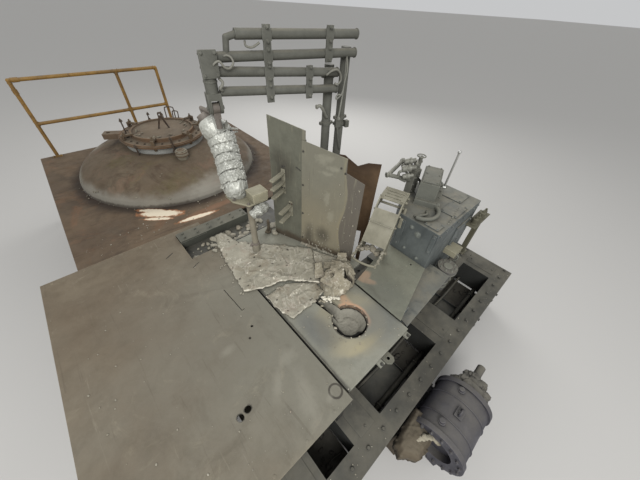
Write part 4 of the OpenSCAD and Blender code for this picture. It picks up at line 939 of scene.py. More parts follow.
# Crusts
BRIDGE = [(1345, 1462), (1236, 1290), (1124, 1092), (1135, 1126), (1205, 1118), (1320, 1146), (1400, 1126),
          (1462, 1176), (1428, 1290)]
LEFT = [(640, 2280), (735, 2300), (800, 2060), (1355, 1470), (1230, 1290), (1110, 1075), (990, 1200),
        (859, 1313), (659, 1361), (520, 1440), (575, 1890)]
FRONT = [(641, 1280), (657, 1041), (694, 951), (926, 947), (1080, 986), (1098, 1100), (1000, 1190),
         (860, 1280)]
CUP = [(1030, 925), (1075, 868), (1160, 842), (1215, 836), (1330, 842), (1405, 888), (1438, 965),
       (1432, 1050), (1452, 1100), (1400, 1128), (1320, 1150), (1205, 1120), (1130, 1130), (1105, 1040),
       (1068, 975)]


def crust_height(base, ridge_edges, outline):
    """Swells, folds and a raised lip along some edges of a sheet of dross."""
    def high(x, y, d):
        rim = max(0.0, 1 - edge_distance(x, y, outline, ridge_edges) / 20)
        body = 16 * (0.5 + 0.5 * fbm((x, y, 0), 190, 2)) + 6 * fbm((x, y, 0), 70, 2, 4)
        body += 1.1 * fbm((x, y, 0), 18, 3, 9)
        fold = 10 * max(0.0, 1 - 9 * abs(fbm((x, y, 3), 210, 2, 6)))
        lip = 9 * rim * (1 + 0.6 * fbm((x, y, 0), 22, 3, 2))
        return base + 9 + max(0.0, body + fold) * min(1.0, d / 30) + lip + 1.5 * min(1, d / 4)
    return high


def crust_marks_at(ridge_edges, outline, bright=1.4):
    """Chalky rim and veins of a sheet of dross, and its dark pits."""
    def marks(p, d):
        reach = 11 + 8 * fbm((p.x, p.y, 1), 40, 3)
        rim = max(0.0, 1 - edge_distance(p.x, p.y, outline, ridge_edges) / reach)
        vein = max(0.0, 1 - 26 * abs(fbm((p.x, p.y, 3), 210, 4, 6)))
        chalk = bright * rim * (0.6 + 0.8 * fbm((p.x, p.y, 2), 70, 2, 3))
        chalk += 0.9 * vein * (0.4 + fbm((p.x, p.y, 8), 60, 3))
        return min(1.0, chalk), max(0.0, fbm((p.x, p.y, 5), 34, 4, 12) * 2.2 - 0.9)
    return marks


def crusts():
    """The two broken sheets of dross and the bridge of dross between them."""
    for name, node_name, outline, base, edges, bright in (
            ("crust_left", "crust_sheet_left", LEFT, DECK_Z, (5, 6, 7, 8), 1.4),
            ("crust_front", "crust_sheet_front", FRONT, TABLE_Z, (0, 1, 2, 3), 0.7)):
        f = Forms()
        f.rag(outline, 9.5, crust_height(base, edges, outline), level(base + 0.8), 16,
              crust_marks_at(edges, outline, bright))
        f.piece(name, "crust_sheet", replaces=[node_name])
    f = Forms()

    def high(x, y, d):
        heap = 20 + 44 * math.exp(-max(0.0, y - 1140) / 60)
        return 988 + min(1.0, d / 12) * heap + 5 * fbm((x, y, 0), 60, 3)

    f.rag(BRIDGE, 9.5, high, level(TABLE_Z + 0.6), 9, crust_marks_at((), BRIDGE))
    f.piece("crust_bridge", "crust_sheet")


def cup():
    """Crusted cup: folded slabs of dross heaped over the bowl, with an L-shaped gap and an arched hole."""
    f = Forms()

    def turned(x, y):
        return (x - y) * 0.7071, (x + y) * 0.7071

    def hole(u, v):
        bar = max(abs(u - 262) - 15, abs(v - 1590) - 50)
        foot = max(abs(u - 288) - 42, abs(v - 1548) - 15)
        arch = math.hypot(u - 128, v - 1560) - 22
        return max(0.0, min(1.0, 0.5 - min(bar, foot, arch) / 9))

    def high(x, y, d):
        u, v = turned(x, y)
        far = abs(math.hypot((u - 205) / 185, (v - 1620) / 200) + 0.10 * fbm((x, y, 0), 90, 3))
        heap = 165 * max(0.0, 1 - far ** 2.4) + 12 * fbm((x, y, 2), 80, 2)
        layer = heap / 36 + 0.7 * fbm((x, y, 3), 80, 2)
        step = math.floor(layer) + min(1.0, (layer - math.floor(layer)) * 3.5)
        h = 0.6 * heap + 0.4 * 36 * step + 3 * fbm((x, y, 0), 26, 2)
        return 987 + max(1.0, h - 85 * hole(u, v)) * min(1.0, 0.12 + d / 14)

    def marks(p, d):
        shaft = hole(*turned(p.x, p.y))
        ridge = max(0.0, min(0.5, 1.5 * fbm(p, 40, 3) - 0.5)) * (1 - shaft)
        # pit darkens the L-shaped gap and the arched hole as painted shade, and adds the dross's own dark pits
        # elsewhere
        return ridge, max(shaft * 1.4, 1.6 * fbm(p, 30, 4, 11) - 1.0)

    f.rag(CUP, 5.5, high, level(TABLE_Z + 0.6), 9, marks)
    for start, way, out, length, wide, curl, seed in (
            ((1105, 990, 1068), (0.75, 0.25, 0.42), (-0.3, -0.35, 0.9), 120, 120, -26, 1),
            ((1345, 900, 1100), (0.35, 0.75, 0.28), (0.1, -0.3, 0.9), 150, 100, -30, 2),
            ((1250, 1090, 1100), (0.05, 0.2, 0.98), (-0.6, -0.6, 0.2), 84, 130, 26, 3),
            ((1390, 1070, 1090), (0.2, 0.25, 0.95), (-0.6, -0.6, 0.2), 96, 110, -20, 4),
            ((1200, 905, 1090), (0.6, -0.45, -0.5), (-0.3, -0.5, 0.8), 110, 90, 18, 5),
            ((1130, 1100, 1040), (0.55, 0.75, 0.2), (-0.4, -0.1, 0.9), 170, 90, -10, 7),
            ((1240, 1010, 1140), (0.6, 0.5, 0.2), (-0.3, -0.3, 0.9), 110, 120, -14, 6)):
        foil_strip(f, start, way, out, length, wide, curl, seed, 9.0)
    loop = arc((1168, 985, 1062), 30, (0.7, -0.7, 0), (0.5, 0.5, 0.7), (0, TAU * 29 / 34), 29)
    f.tube(loop, 9, 10, curve=False, rough=4)
    for _ in range(26):
        t = rng.random()
        x, y = 1020 + 90 * t + rng.uniform(-30, 30), 915 - 60 * t + rng.uniform(-30, 50)
        s = rng.uniform(5, 17)
        for v in f.crumb((x, y, 988 + s * 0.4), s, (1.3, 1, 0.7), 0.6):
            v[f.ridge] = 0.9
    f.piece("cup_crust", "cup_crust", replaces=["ladle_cup"])


def keyhole_outline(grow_near, grow_far):
    """The keyhole seen from above; the side towards the deck and the far side are set back apart."""
    points = []
    for s in range(60):
        a = math.radians(113 + s * (427 - 113) / 59)
        x, y = math.cos(a), math.sin(a)
        near = max(0.0, -x * 0.8 - y * 0.6)
        r = 150 - grow_far - (grow_near - grow_far) * min(1.0, near * 1.5)
        points.append((r * x, r * y))
    points += [(60 - grow_far, 344), (-60 + grow_near, 344)]
    return [tuple(KEYHOLE(x, y, 0))[:2] for x, y in points]


def keyhole():
    """Lumpy refractory lining that leaves a ragged gap along the near rim, which its material paints black as
    shadow, and its burnt lip.
    """
    f = Forms()

    def high(x, y, d):
        lean = ((x - 1045) * 0.8 + (y - 620) * 0.6) / 150
        wall = max(0.0, 1 - d / 46) ** 0.8 * (0.6 + 0.4 * min(1, max(0, lean + 0.6)))
        return 888 + 62 * wall + 7 * fbm((x, y, 0), 50, 4) + 5 * fbm((x, y, 0), 16, 3, 5)

    f.rag(keyhole_outline(34, 4), 7, high, level(877), 4, lambda p, d: (0.25 * max(0, 1 - d / 12), 0.0))
    f.piece("keyhole_lining", "lining_pale")
    f = Forms()
    rim = keyhole_outline(-2, -3)
    for k, ((x, y), (x1, y1)) in enumerate(zip(rim, rim[1:])):
        if k % 5 == 0 and math.hypot(x1 - x, y1 - y) <= 60:
            s = rng.uniform(2, 5)
            f.crumb((x, y, TABLE_Z + 0.5 + s * 0.2), s, (2.2, 1.4, 0.5))
    for x, y, s in ((905, 655, 9), (880, 700, 7), (935, 760, 8), (870, 560, 6), (960, 430, 5),
                    (1005, 905, 12), (985, 930, 9), (965, 880, 8), (1180, 900, 9),
                    (1160, 950, 12), (1100, 1000, 12)):
        f.crumb((x, y, TABLE_Z + s * 0.4), s, (1.6, 1, 0.6), 0.6, 3)
    f.piece("keyhole_crumbs", "cup_crust")


def grit():
    """Crumbs of dross and scale on the decks and the table, thickest by the crusts."""
    f = Forms()
    for (x0, x1), (y0, y1), z, count, size in (
            ((-700, 600), (260, 2050), DECK_Z, 90, 4), ((-450, 1300), (2700, 3000), DECK_Z, 60, 5),
            ((680, 1340), (300, 1240), TABLE_Z, 60, 4), ((1400, 2030), (560, 840), 1010, 30, 3),
            ((1380, 1580), (1100, 2050), TABLE_Z, 40, 8), ((480, 660), (1380, 2050), DECK_Z, 50, 7),
            ((100, 3200), (-120, 20), BED_Z, 60, 3.5), ((100, 3200), (355, 500), BED_Z, 60, 3.5)):
        for _ in range(count):
            x, y = rng.uniform(x0, x1), rng.uniform(y0, y1)
            s = size * rng.uniform(0.4, 1.6) ** 1.5
            over_hole = math.hypot(x - 1045, y - 620) < 165 or (abs(x - 1030) < 80 and y > 620)
            if not (z == TABLE_Z and x < 1366 and over_hole):
                f.crumb((x, y, z + s * 0.3), s, (1, 0.75, 0.5), 0.4, 1)
    f.piece("grit", "crust_sheet")


# Furnace, lid and rail
def ray(angle):
    """The direction away from the furnace's axis at an angle in degrees."""
    a = math.radians(angle)
    return Vector((math.cos(a), math.sin(a), 0))


def polar(angle, r, z):
    """A point at a radius from the furnace's axis."""
    return Vector((FURNACE_X, FURNACE_Y, z)) + r * ray(angle)


def dome_z(r):
    """Height of the furnace dome at a radius."""
    return DECK_Z + 370 * math.sqrt(max(0.0, 1 - ((r - 380) / 790) ** 2))


def lid():
    """Bolts, rods, loops and rust beads of the lid, the neck's collar, ash on the dome and the spout's cap."""
    f = Forms()
    for k in range(28):
        a = 360 * k / 28 + 5
        if min(abs((a - c + 180) % 360 - 180) for c in (20, 72, 128, 186, 238, 292, 340)) > 6:
            f.bolt(polar(a, 468, 1486), UP, 20, stud=6)
    for a, r, z0, z1, d in ((176, 440, 1486, 1720, 17), (92, 505, 1486, 1600, 16),
                            (262, 538, 1390, 1590, 20), (214, 538, 1335, 1500, 18)):
        f.tube([polar(a, r, z0), polar(a + 0.4, r, (z0 + z1) / 2), polar(a - 0.6, r + 3, z1)], d / 2, 10)
        f.bolt(polar(a, r, z0 + 10 if r < 530 else z0 + 6), UP, 30)
        f.bolt(polar(a - 0.3, r, z1 - 34), UP, 30, stud=12)
        if r > 530:
            f.block(polar(a, r - 16, 1468), (44, 34, 30), (ray(a), ray(a + 90), UP), 3)
    for a, wide, tall in ((58, 62, 150), (50, 40, 95)):
        side = ray(a + 90) * wide
        foot = polar(a, 500, 1488)
        top = UP * tall + ray(a) * 26
        f.tube([foot - side, foot - side + top * 0.8, foot - side * 0.7 + top, foot + side * 0.7 + top,
                foot + side + top * 0.8, foot + side], 7.5, 10, 8)
    f.piece("lid_hardware", "handle_rust")
    f = Forms()
    for r, z, size in ((401, 1487.5, 4), (441, 1371, 5), (529, 1487, 3)):
        bead = hoop(polar(0, 0, z), r, 150)
        f.tube(bead, lambda t, s=size: s * (1 + 0.25 * math.sin(t * 800)), 6, curve=False)
    f.tube(hoop(polar(0, 0, 1476), 541, 100), 5, 8, curve=False)
    f.piece("lid_beads", "lid_rust")
    f = Forms()
    profile = [(441, 2), (490, 4), (492, 30), (484, 62), (482, 104), (441, 104.5)]
    f.lathe(polar(0, 0, 1345), UP, profile, 120, smooth=True)
    f.piece("neck_collar", "neck_refractory")
    f = Forms()
    for r, z, size, n in ((300, 1524, 9, 22), (350, 1514, 7, 14), (1150, None, 8, 26), (1190, 1004, 7, 30),
                          (900, None, 5, 8)):
        for _ in range(n):
            a = rng.uniform(150, 390)
            s = size * rng.uniform(0.5, 1.6)
            rr = r + rng.uniform(-30, 30)
            f.crumb(polar(a, rr, (z or dome_z(rr)) + s * 0.2), s, (1.4, 1, 0.6))
    f.lump((150, 4800, 1135), (70, 46, 52), 0.35, 4)
    f.piece("furnace_ash", "spout_refractory")
    f = Forms()
    spout_r = 650
    cap = polar(267.5, spout_r, dome_z(spout_r - 65) + 20)
    for k in range(6):
        turn = k * 1.047 + 0.4
        f.bolt(cap + Vector((62 * math.cos(turn), 62 * math.sin(turn), 60)), UP, 13)
    f.collar(cap + UP * 2, UP, 73, 79, 18, 48, 4)
    f.collar(cap + UP * 42, UP, 73, 77, 14, 48, 4)
    f.lathe(cap + UP * 74, UP, [(46, 0), (46, 5), (40, 8), (14, 10), (12, 20), (6, 24)], 36)
    f.piece("spout_cap", "lid_rust")


def rail():
    """Weld beads and clamp collars at the joints of the guard rail, bolted feet."""
    f = Forms()
    y, top, knee = 5400, 2007.5, 1473.8
    bead = [(22.6, -4), (27, -2), (27.5, 4), (22.6, 8)]
    foot_bead = [(22.6, -4), (26.5, -2), (26.5, 3), (22.6, 6)]
    for x in (-320, 860, 1420):
        for z in (knee, top):
            for side in (-1, 1):
                if (x, side) not in ((-320, -1), (1420, 1)):
                    f.lathe((x + side * 29, y, z), (side, 0, 0), bead, 24, smooth=True)
        for z in (top - 34, knee + 30, knee - 34, 1012):
            f.lathe((x, y, z), UP, foot_bead, 24, smooth=True)
        f.bolts([(x + side * 42, y, 1008) for side in (-1, 1)], UP, 16, stud=6)
    f.collar((-320, y, 1850), UP, 22.6, 28, 58, 28)
    f.collar((-290, y, top), EAST, 22.6, 28, 72, 28)
    f.piece("rail_joints", "rail_ochre")


# Gantry
BAR_Y = -80.3


def gantry():
    """Strap bolts, bar end flanges, column clamps, anchor nuts, hose loops and cables of the gantry."""
    axes = gx, gy, _ = axes_of(GANTRY)
    # Each bar: its height, where it starts and ends, and how far its ends rise and fall.
    bars = ((2760, 230, 1300, 0, 0), (2626, 48, 1300, 0, 0), (2492, 52, 1130, 45, 10),
            (2358, 58, 1130, 45, 10))
    columns = (1265, 1095)
    f = Forms()
    for x, wide, held in ((460, 60, bars), (1010, 60, bars[:2]), (827.5, 55, bars[2:])):
        for height, x0, x1, rise, fall in held:
            z = height + rise - (rise + fall) * (x - x0) / (x1 - x0)
            f.bolts([GANTRY(x, -123.4, z + dz) for dz in (-43, 43)], -gy, 22, stud=12)
            strap = arc(GANTRY(x, BAR_Y, z), 39, gy, UP, (math.radians(-100), math.radians(100)), 20)
            f.tube(strap, 5, 8, curve=False)
            f.block(GANTRY(x, -119, z), (wide + 14, 9, 78), axes, 3)
    for height, _, x1, _, fall in bars:
        f.lathe(GANTRY(x1 - 4, BAR_Y, height - fall), gx, [(37, 0), (40, 2), (40, 9), (34, 11)], 28)
        f.bolts(hoop(GANTRY(x1 + 5, BAR_Y, height - fall), 22, 4, gy, UP, 0.6)[:-1], gx, 9)
    for x, z in ((1265, 1990), (1265, 2050), (1095, 2010), (1095, 2440), (1265, 2600)):
        f.collar(GANTRY(x, 0, z - 16), UP, 45.3, 53, 32)
        for s in (-1, 1):
            f.block(GANTRY(x + s * 62, 0, z), (26, 30, 30), axes, 3)
            f.bolt(GANTRY(x + s * 64, -15, z), -gy, 15, stud=8)
    f.block(GANTRY(1210, -52, 2010), (60, 40, 90), axes, 5)
    f.block(GANTRY(1330, -40, 1985), (46, 46, 70), axes, 5)
    f.tube(run(GANTRY, (1205, -60, 1965), (1225, -62, 1850), (1262, -56, 1720)), 13, 10)
    for x in columns:
        for c in hoop(GANTRY(x, 0, 0), 85, 4, gx, gy, math.radians(45))[:-1]:
            f.lathe(c, UP, [(8.4, 1), (8.4, 48), (6.5, 50)], 12)
            f.bolt(c + UP * 20, UP, 27, tall=18)
        bead = hoop(GANTRY(x, 0, 22), 47, 40, gx, gy)
        f.tube(bead, lambda t: 5 + 0.8 * math.sin(t * 300), 6, curve=False)
    for z in (2470, 2558, 2640):
        f.collar(GANTRY(0, BAR_Y, z), UP, 48.2, 52, 14)
    f.block(GANTRY(8, -133, 2592), (124, 10, 176), axes, 4)
    f.bolts([GANTRY(x, -138, z) for x in (-38, 54) for z in (2524, 2660)], -gy, 17, stud=6)
    for s in (-1, 1):
        f.lathe(GANTRY(s * 54.5, BAR_Y, PIN.z), gx * s, [(15.2, 0), (26, 0), (26, 4), (15.2, 4)], 24)
        f.lathe(GANTRY(s * 60, BAR_Y, PIN.z), gx * s, [(16.5, -4), (16.5, 5), (12, 7.5)], 6)
    f.piece("gantry_fittings", "gantry_grey")
    f = Forms()
    for r, points in (
            (8, ((52, -100, 2560), (35, -138, 2590), (75, -150, 2612), (110, -150, 2572), (146, -146, 2566),
                 (178, -140, 2598), (168, -128, 2630), (140, -116, 2640), (120, -110, 2632))),
            (9, ((1000, -112, 2470), (1040, -140, 2506), (1085, -150, 2514), (1128, -146, 2478),
                 (1140, -140, 2425), (1112, -130, 2392), (1098, -108, 2400))),
            (7, ((1210, -96, 2620), (1216, -120, 2500), (1204, -116, 2417), (1190, -112, 2316),
                 (1150, -112, 2272), (1128, -112, 2262), (1124, -112, 2282), (1150, -112, 2300),
                 (1186, -112, 2290))),
            (8, ((1216, -92, 2610), (1206, -108, 2420), (1198, -96, 2200), (1192, -84, 2080))),
            (15, ((930, -84, 2205), (960, -98, 2214), (1000, -92, 2170), (1046, -62, 2110),
                  (1072, -46, 2080))),
            (8, ((300, -80, 2720), (302, -92, 2690), (340, -112, 2684), (380, -112, 2700),
                 (400, -112, 2712))),
            (10, ((60, -118, 2500), (78, -140, 2478), (66, -146, 2456), (52, -140, 2438),
                  (68, -126, 2420)))):
        f.tube(run(GANTRY, *points), r, 12, 9)
    for p in ((930, -84, 2205), (1192, -84, 2066)):
        f.lathe(GANTRY(*p) - gx * 8, gx, [(18, 0), (20, 3), (20, 14), (16, 18)], 18)
    f.piece("gantry_hoses", "hose_grey")


def shields():
    """Lap bolts, back angles and clips of the splash shields; fixing bolts of the guide strips."""
    axes = sx, sy, _ = axes_of(SHIELD)
    foot = 990
    f = Forms()
    for z in (1080, 1400, 1720, 2040):
        f.bolt(SHIELD(352, 0, z), -sy, 13)
        f.bolt(SHIELD(352, 12, z), sy, 17, stud=8)
    for x, back, top in ((30, 15, 2180), (330, 15, 2120), (600, 9, 2000), (880, 9, 1840)):
        f.block(SHIELD(x, back, (foot + top) / 2), (40, 5, top - foot), axes, 1)
        f.block(SHIELD(x + 20, back + 17, (foot + top) / 2), (5, 38, top - foot), axes, 1)
    for x, z in ((128, 1840), (148, 1845), (124, 1620), (150, 1622), (200, 1350), (224, 1462), (202, 1462)):
        f.bolt(SHIELD(x, 0 if z < 1830 else 5, z), -sy, 11)
    f.bolts(run(SHIELD, (705, 0, 1986), (745, 0, 1950)), -sy, 12)
    f.block(SHIELD(300, 4, 1862), (54, 4, 9), (sx * 0.9 - UP * 0.43, sy, sx * 0.43 + UP * 0.9), 1)
    f.piece("shield_fittings", "frame_steel")
    f = Forms()
    for _ in range(150):
        x, z = rng.uniform(345, 900), TABLE_Z + rng.random() ** 2 * 900
        if x <= 740 or z <= 1880:
            s = rng.uniform(2, 7) * (1.5 if z < 1080 else 1)
            f.lump(SHIELD(x, -0.5, z), (s * 0.8, s * 0.8, s * rng.uniform(1, 2)), 0.5, 1 if s < 5 else 2)
    for x in range(350, 900, 17):
        s = rng.uniform(8, 22)
        f.crumb(SHIELD(x + rng.uniform(-8, 8), -6, 986 + s * 0.3), s, (1, 0.9, 0.6), 0.6, 3)
    f.piece("shield_dross", "crust_sheet")


# Drive block and ladle
def block():
    """Bolted covers and sides of the drive block, then its top, valves, bracket and head ring."""
    f = Forms()
    for x, y, w, d, h in ((2160, 640, 120, 150, 12), (2560, 640, 260, 170, 10), (2830, 800, 220, 300, 10),
                          (2870, 1050, 150, 140, 22)):
        f.block((x, y, BLOCK_Z + h / 2), (w, d, h), bevel=3)
        f.bolts([(x + sx * (w / 2 - 16), y + sy * (d / 2 - 16), BLOCK_Z + h)
                 for sx in (-1, 1) for sy in (-1, 1)], UP, 15)
    f.block((2066, 560, 1300), (10, 36, 230), bevel=2)
    f.block((2067, 905, 1230), (8, 60, 330), bevel=2)
    for y, z, r in ((801, 1365, 15), (716, 1318, 24), (805, 1083, 13), (644, 1046, 14), (905, 1370, 9),
                    (905, 1090, 9), (560, 1390, 9), (560, 1210, 9)):
        f.lathe((2070, y, z), WEST, [(r * 1.25, 0), (r * 1.25, 4), (r, 6), (r, 11), (r * 0.7, 13)], 24)
        f.lathe((2070, y, z), WEST, [(r * 0.5, 13), (r * 0.5, 18), (r * 0.35, 19)], 6)
    for x in range(2110, 3054, 118):
        f.bolt((x, 530, 1400), SOUTH, 16)
        f.bolt((x, 530, 680), SOUTH, 20)
    f.block((2700, 524, 1150), (320, 14, 260), bevel=4)
    f.bolts([(2700 + x, 517, 1150 + z) for x in (-140, 0, 140) for z in (-112, 112)], SOUTH, 15)
    for y in (600, 760, 920, 1090):
        f.bolt((2970, y, 1390), EAST, 16)
        f.bolt((2970, y, 700), EAST, 20)
    f.block((2976, 850, 1080), (14, 340, 320), bevel=4)
    f.bolts([(2983, 850 + y, 1080 + z) for y in (-145, 0, 145) for z in (-140, 140)], EAST, 15)
    f.bolts([(x, 1180, z) for x in (2500, 2700, 2900) for z in (1380, 720)], NORTH, 18)
    f.piece("block_fittings", "block_blue")
    block_top()
    valves()
    bracket()
    head()


def block_top():
    """Bolts, plate and handle of the hood, and the looped hose that lies on the block."""
    f = Forms()
    f.bolts([HOOD(x, y, 250) for x in (30, 200, 370) for y in (-30, -160)], UP, 14)
    f.bolts([HOOD(x, -232, 60) for x in (-24, 100, 240, 400)], UP, 17)
    f.block(HOOD(200, -191, 130), (240, 6, 100), axes_of(HOOD), 2)
    f.tube(run(HOOD, (20, -196, 215), (60, -214, 214), (90, -214, 205), (96, -200, 200)), 6, 8)
    f.tube([(2105, 812, 1462), (2128, 745, 1468), (2200, 690, 1470), (2310, 690, 1470), (2395, 745, 1470),
            (2425, 820, 1468), (2400, 872, 1462), (2372, 905, 1456)], 21, 16, 12)
    f.tube([(2118, 840, 1455), (2160, 800, 1462), (2230, 770, 1462), (2290, 800, 1455)], 13, 12, 12)
    f.piece("block_top", "hood_grey")


def valves():
    """Stud row, nuts, handwheel, hose and unions of the valve cluster."""
    f = Forms()
    for k in range(9):
        f.bolt((2290 + k * 40, 560 + k * 7, BLOCK_Z), UP, 18 if k % 2 else 13, stud=10)
    for x, z, r in ((28, 270, 30), (28, 330, 27), (84, 270, 27), (84, 345, 25), (28, 352, 14), (84, 378, 16)):
        f.collar(VALVE(x, 39, z), UP, r, r + 3, 14, 6 if r > 25 else 24)
    f.tube(run(VALVE, (28, 39, 360), (28, 39, 382), (-30, 10, 398), (-92, -20, 402)), 8, 10)
    f.lump(VALVE(-96, -22, 403), (15, 15, 13), 0.05, 3)
    f.tube(run(VALVE, (84, 39, 382), (84, 39, 402), (84, 39, 410)), 9, 10)
    wheel, wheel_r = VALVE(84, 39, 410), 42
    f.tube(hoop(wheel, wheel_r, 36), 6, 8, curve=False)
    for a in (0.3, 2.4, 4.5):
        f.tube([wheel, wheel + wheel_r * Vector((math.cos(a), math.sin(a), 0))], 4, 8, curve=False)
    union = [(22, 0), (29, 2), (29, 14), (24, 16), (24, 30), (29, 32), (29, 44), (22, 46)]
    for p, way in (((-230, 180, 240), (-0.82, 0.45, 0)), ((120, 250, 260), (1, 0.2, 0)),
                   ((30, 39, 150), WEST)):
        f.lathe(VALVE(*p) - Vector(way).normalized() * 22, way, union, 6)
    f.bolts([VALVE(x, 0, z) for z in (40, 120, 200) for x in (20, 90)], SOUTH, 14)
    f.tube(run(VALVE, (110, 30, 120), (160, 40, 125), (210, 20, 80), (222, 0, 15), (224, 0, 1)), 14, 12)
    f.piece("valve_fittings", "valve_metal")
    f = Forms()
    way = Vector((0.66, -0.70, 0.28)).normalized()
    for x, y, z, r, long in ((-104, 96, 300, 34, 120), (-52, 118, 352, 30, 100), (-120, 60, 236, 26, 90)):
        q = VALVE(x, y, z)
        f.lathe(q, way, [(r * 0.5, -18), (r * 0.9, -14), (r, -4), (r, long * 0.4), (r * 1.25, long * 0.42),
                         (r * 1.25, long * 0.6), (r * 0.8, long * 0.62), (r * 0.8, long)], 28)
        f.collar(q + way * (long * 0.22), way, r * 1.02, r * 1.16, 14, 6)
    f.tube(run(VALVE, (-104, 96, 282), (-128, 120, 260), (-120, 110, 200), (-60, 60, 160)), 14, 12)
    f.tube(run(VALVE, (-52, 118, 334), (-70, 140, 310), (-40, 110, 250), (-5, 60, 220)), 10, 12)
    f.piece("valve_unions", "valve_metal")


def bracket():
    """Post beside the block, with a shelf of four fittings."""
    f = Forms()
    for centre, size, bevel in (
            ((3130, 470, 905), (64, 56, 604), 4), ((2990, 470, 1210), (420, 116, 14), 4),
            ((2990, 524, 1170), (200, 8, 80), 2), ((3130, 470, 609), (130, 96, 14), 3)):
        f.block(centre, size, bevel=bevel)
    for x, r, h in ((2860, 30, 66), (2950, 24, 54), (3050, 34, 60), (3150, 20, 42)):
        f.lathe((x, 466, 1217), UP, [(r + 6, 0), (r + 6, 8), (r, 10), (r, h), (r * 0.8, h + 6),
                                     (r * 0.4, h + 7), (r * 0.4, h + 20)], 28)
        f.bolt((x, 466, 1217 + h + 18), UP, 18)
    f.bolts([(x, 500, 616) for x in (3080, 3180)], UP, 17)
    f.bolts([(x, 519, 1180) for x in (2920, 3060)], SOUTH, 14)
    f.piece("side_bracket", "bracket_olive")


def head():
    """Rings, bolts and pipes of the head cylinder."""
    f = Forms()
    place = local((2360, 390, 0), 0)
    f.bolts(hoop(place(0, 0, 930), 80, 8, start=0.2)[:-1], UP, 17, stud=8)
    f.lathe(place(0, 0, 930), UP, [(30.5, 0), (46, 0), (46, 8), (42, 11), (30.5, 11)], 36)
    f.collar(place(0, 0, 880), UP, 105, 108, 12, 48, 3)
    for z in (640, 700):
        f.collar(place(0, 0, z), UP, 75, 80, 25, 36, 3)
    f.tube(run(place, (74, -20, 800), (130, -40, 800), (180, -40, 770), (190, -40, 700),
               (190, -40, 615)), 12, 12)
    f.bolt(place(190, -40, BED_Z), UP, 40)
    f.bolts([(x, 400, z) for z in (975, 1018) for x in (2500, 2620)], SOUTH, 9)
    f.tube([(2560, 404, 965), (2560, 380, 945), (2556, 384, 900), (2540, 420, 850), (2520, 480, 830),
            (2515, 529, 828)], 9, 10)
    f.piece("head_fittings", "hood_grey")


def ladle():
    """Pins, bolts, stiffeners and crust on the ladle arm."""
    axes = lx, ly, _ = axes_of(LADLE)
    f = Forms()
    for way in (-1, 1):
        for x, z, size in ((40, 110, 26), (110, 60, 18), (200, 330, 20), (280, 420, 18), (440, 490, 22),
                           (530, 490, 18), (-170, 157, 16)):
            f.bolt(LADLE(x, 125 * way, z), ly * way, size, stud=8)
    for x, y, z in ((40, 140, 110), (360, 136, 470)):
        f.tube(run(LADLE, (x, -y, z), (x, y, z)), 12, 14, curve=False)
    f.bolts([LADLE(x, y, 540) for x in (345, 520) for y in (-100, 100)], UP, 17, stud=6)
    f.tube(run(LADLE, (-228, -112, 158), (-246, -60, 160), (-250, 0, 160), (-246, 60, 160),
               (-228, 112, 158)), 11, 12)
    f.block(LADLE(160, 0, 345), (6, 236, 60), (lx * 0.6 + UP * 0.8, ly, lx * -0.8 + UP * 0.6), 2)
    f.block(LADLE(345, -150, 330), (90, 36, 120), axes, 10)
    f.tube(run(LADLE, (345, -150, 385), (352, -152, 430), (390, -148, 455)), 17, 14)
    f.piece("ladle_fittings", "arm_tan")
    f = Forms()
    for _ in range(60):
        t = rng.random()
        p = LADLE(-230 + 300 * t, rng.choice((-118, 118)) + rng.uniform(-5, 5), 180 if t < 0.8 else 165)
        f.crumb(p, rng.uniform(4, 15), (1, 0.8, 0.6))
    for x, y, z, s in ((-10, 100, 105, 26), (20, 60, 115, 30), (0, -60, 105, 26), (30, 0, 117, 34)):
        f.crumb(LADLE(x, y, z), s, (1, 1.3, 0.8), 0.5, 3)
    f.piece("ladle_crust", "crust_sheet")


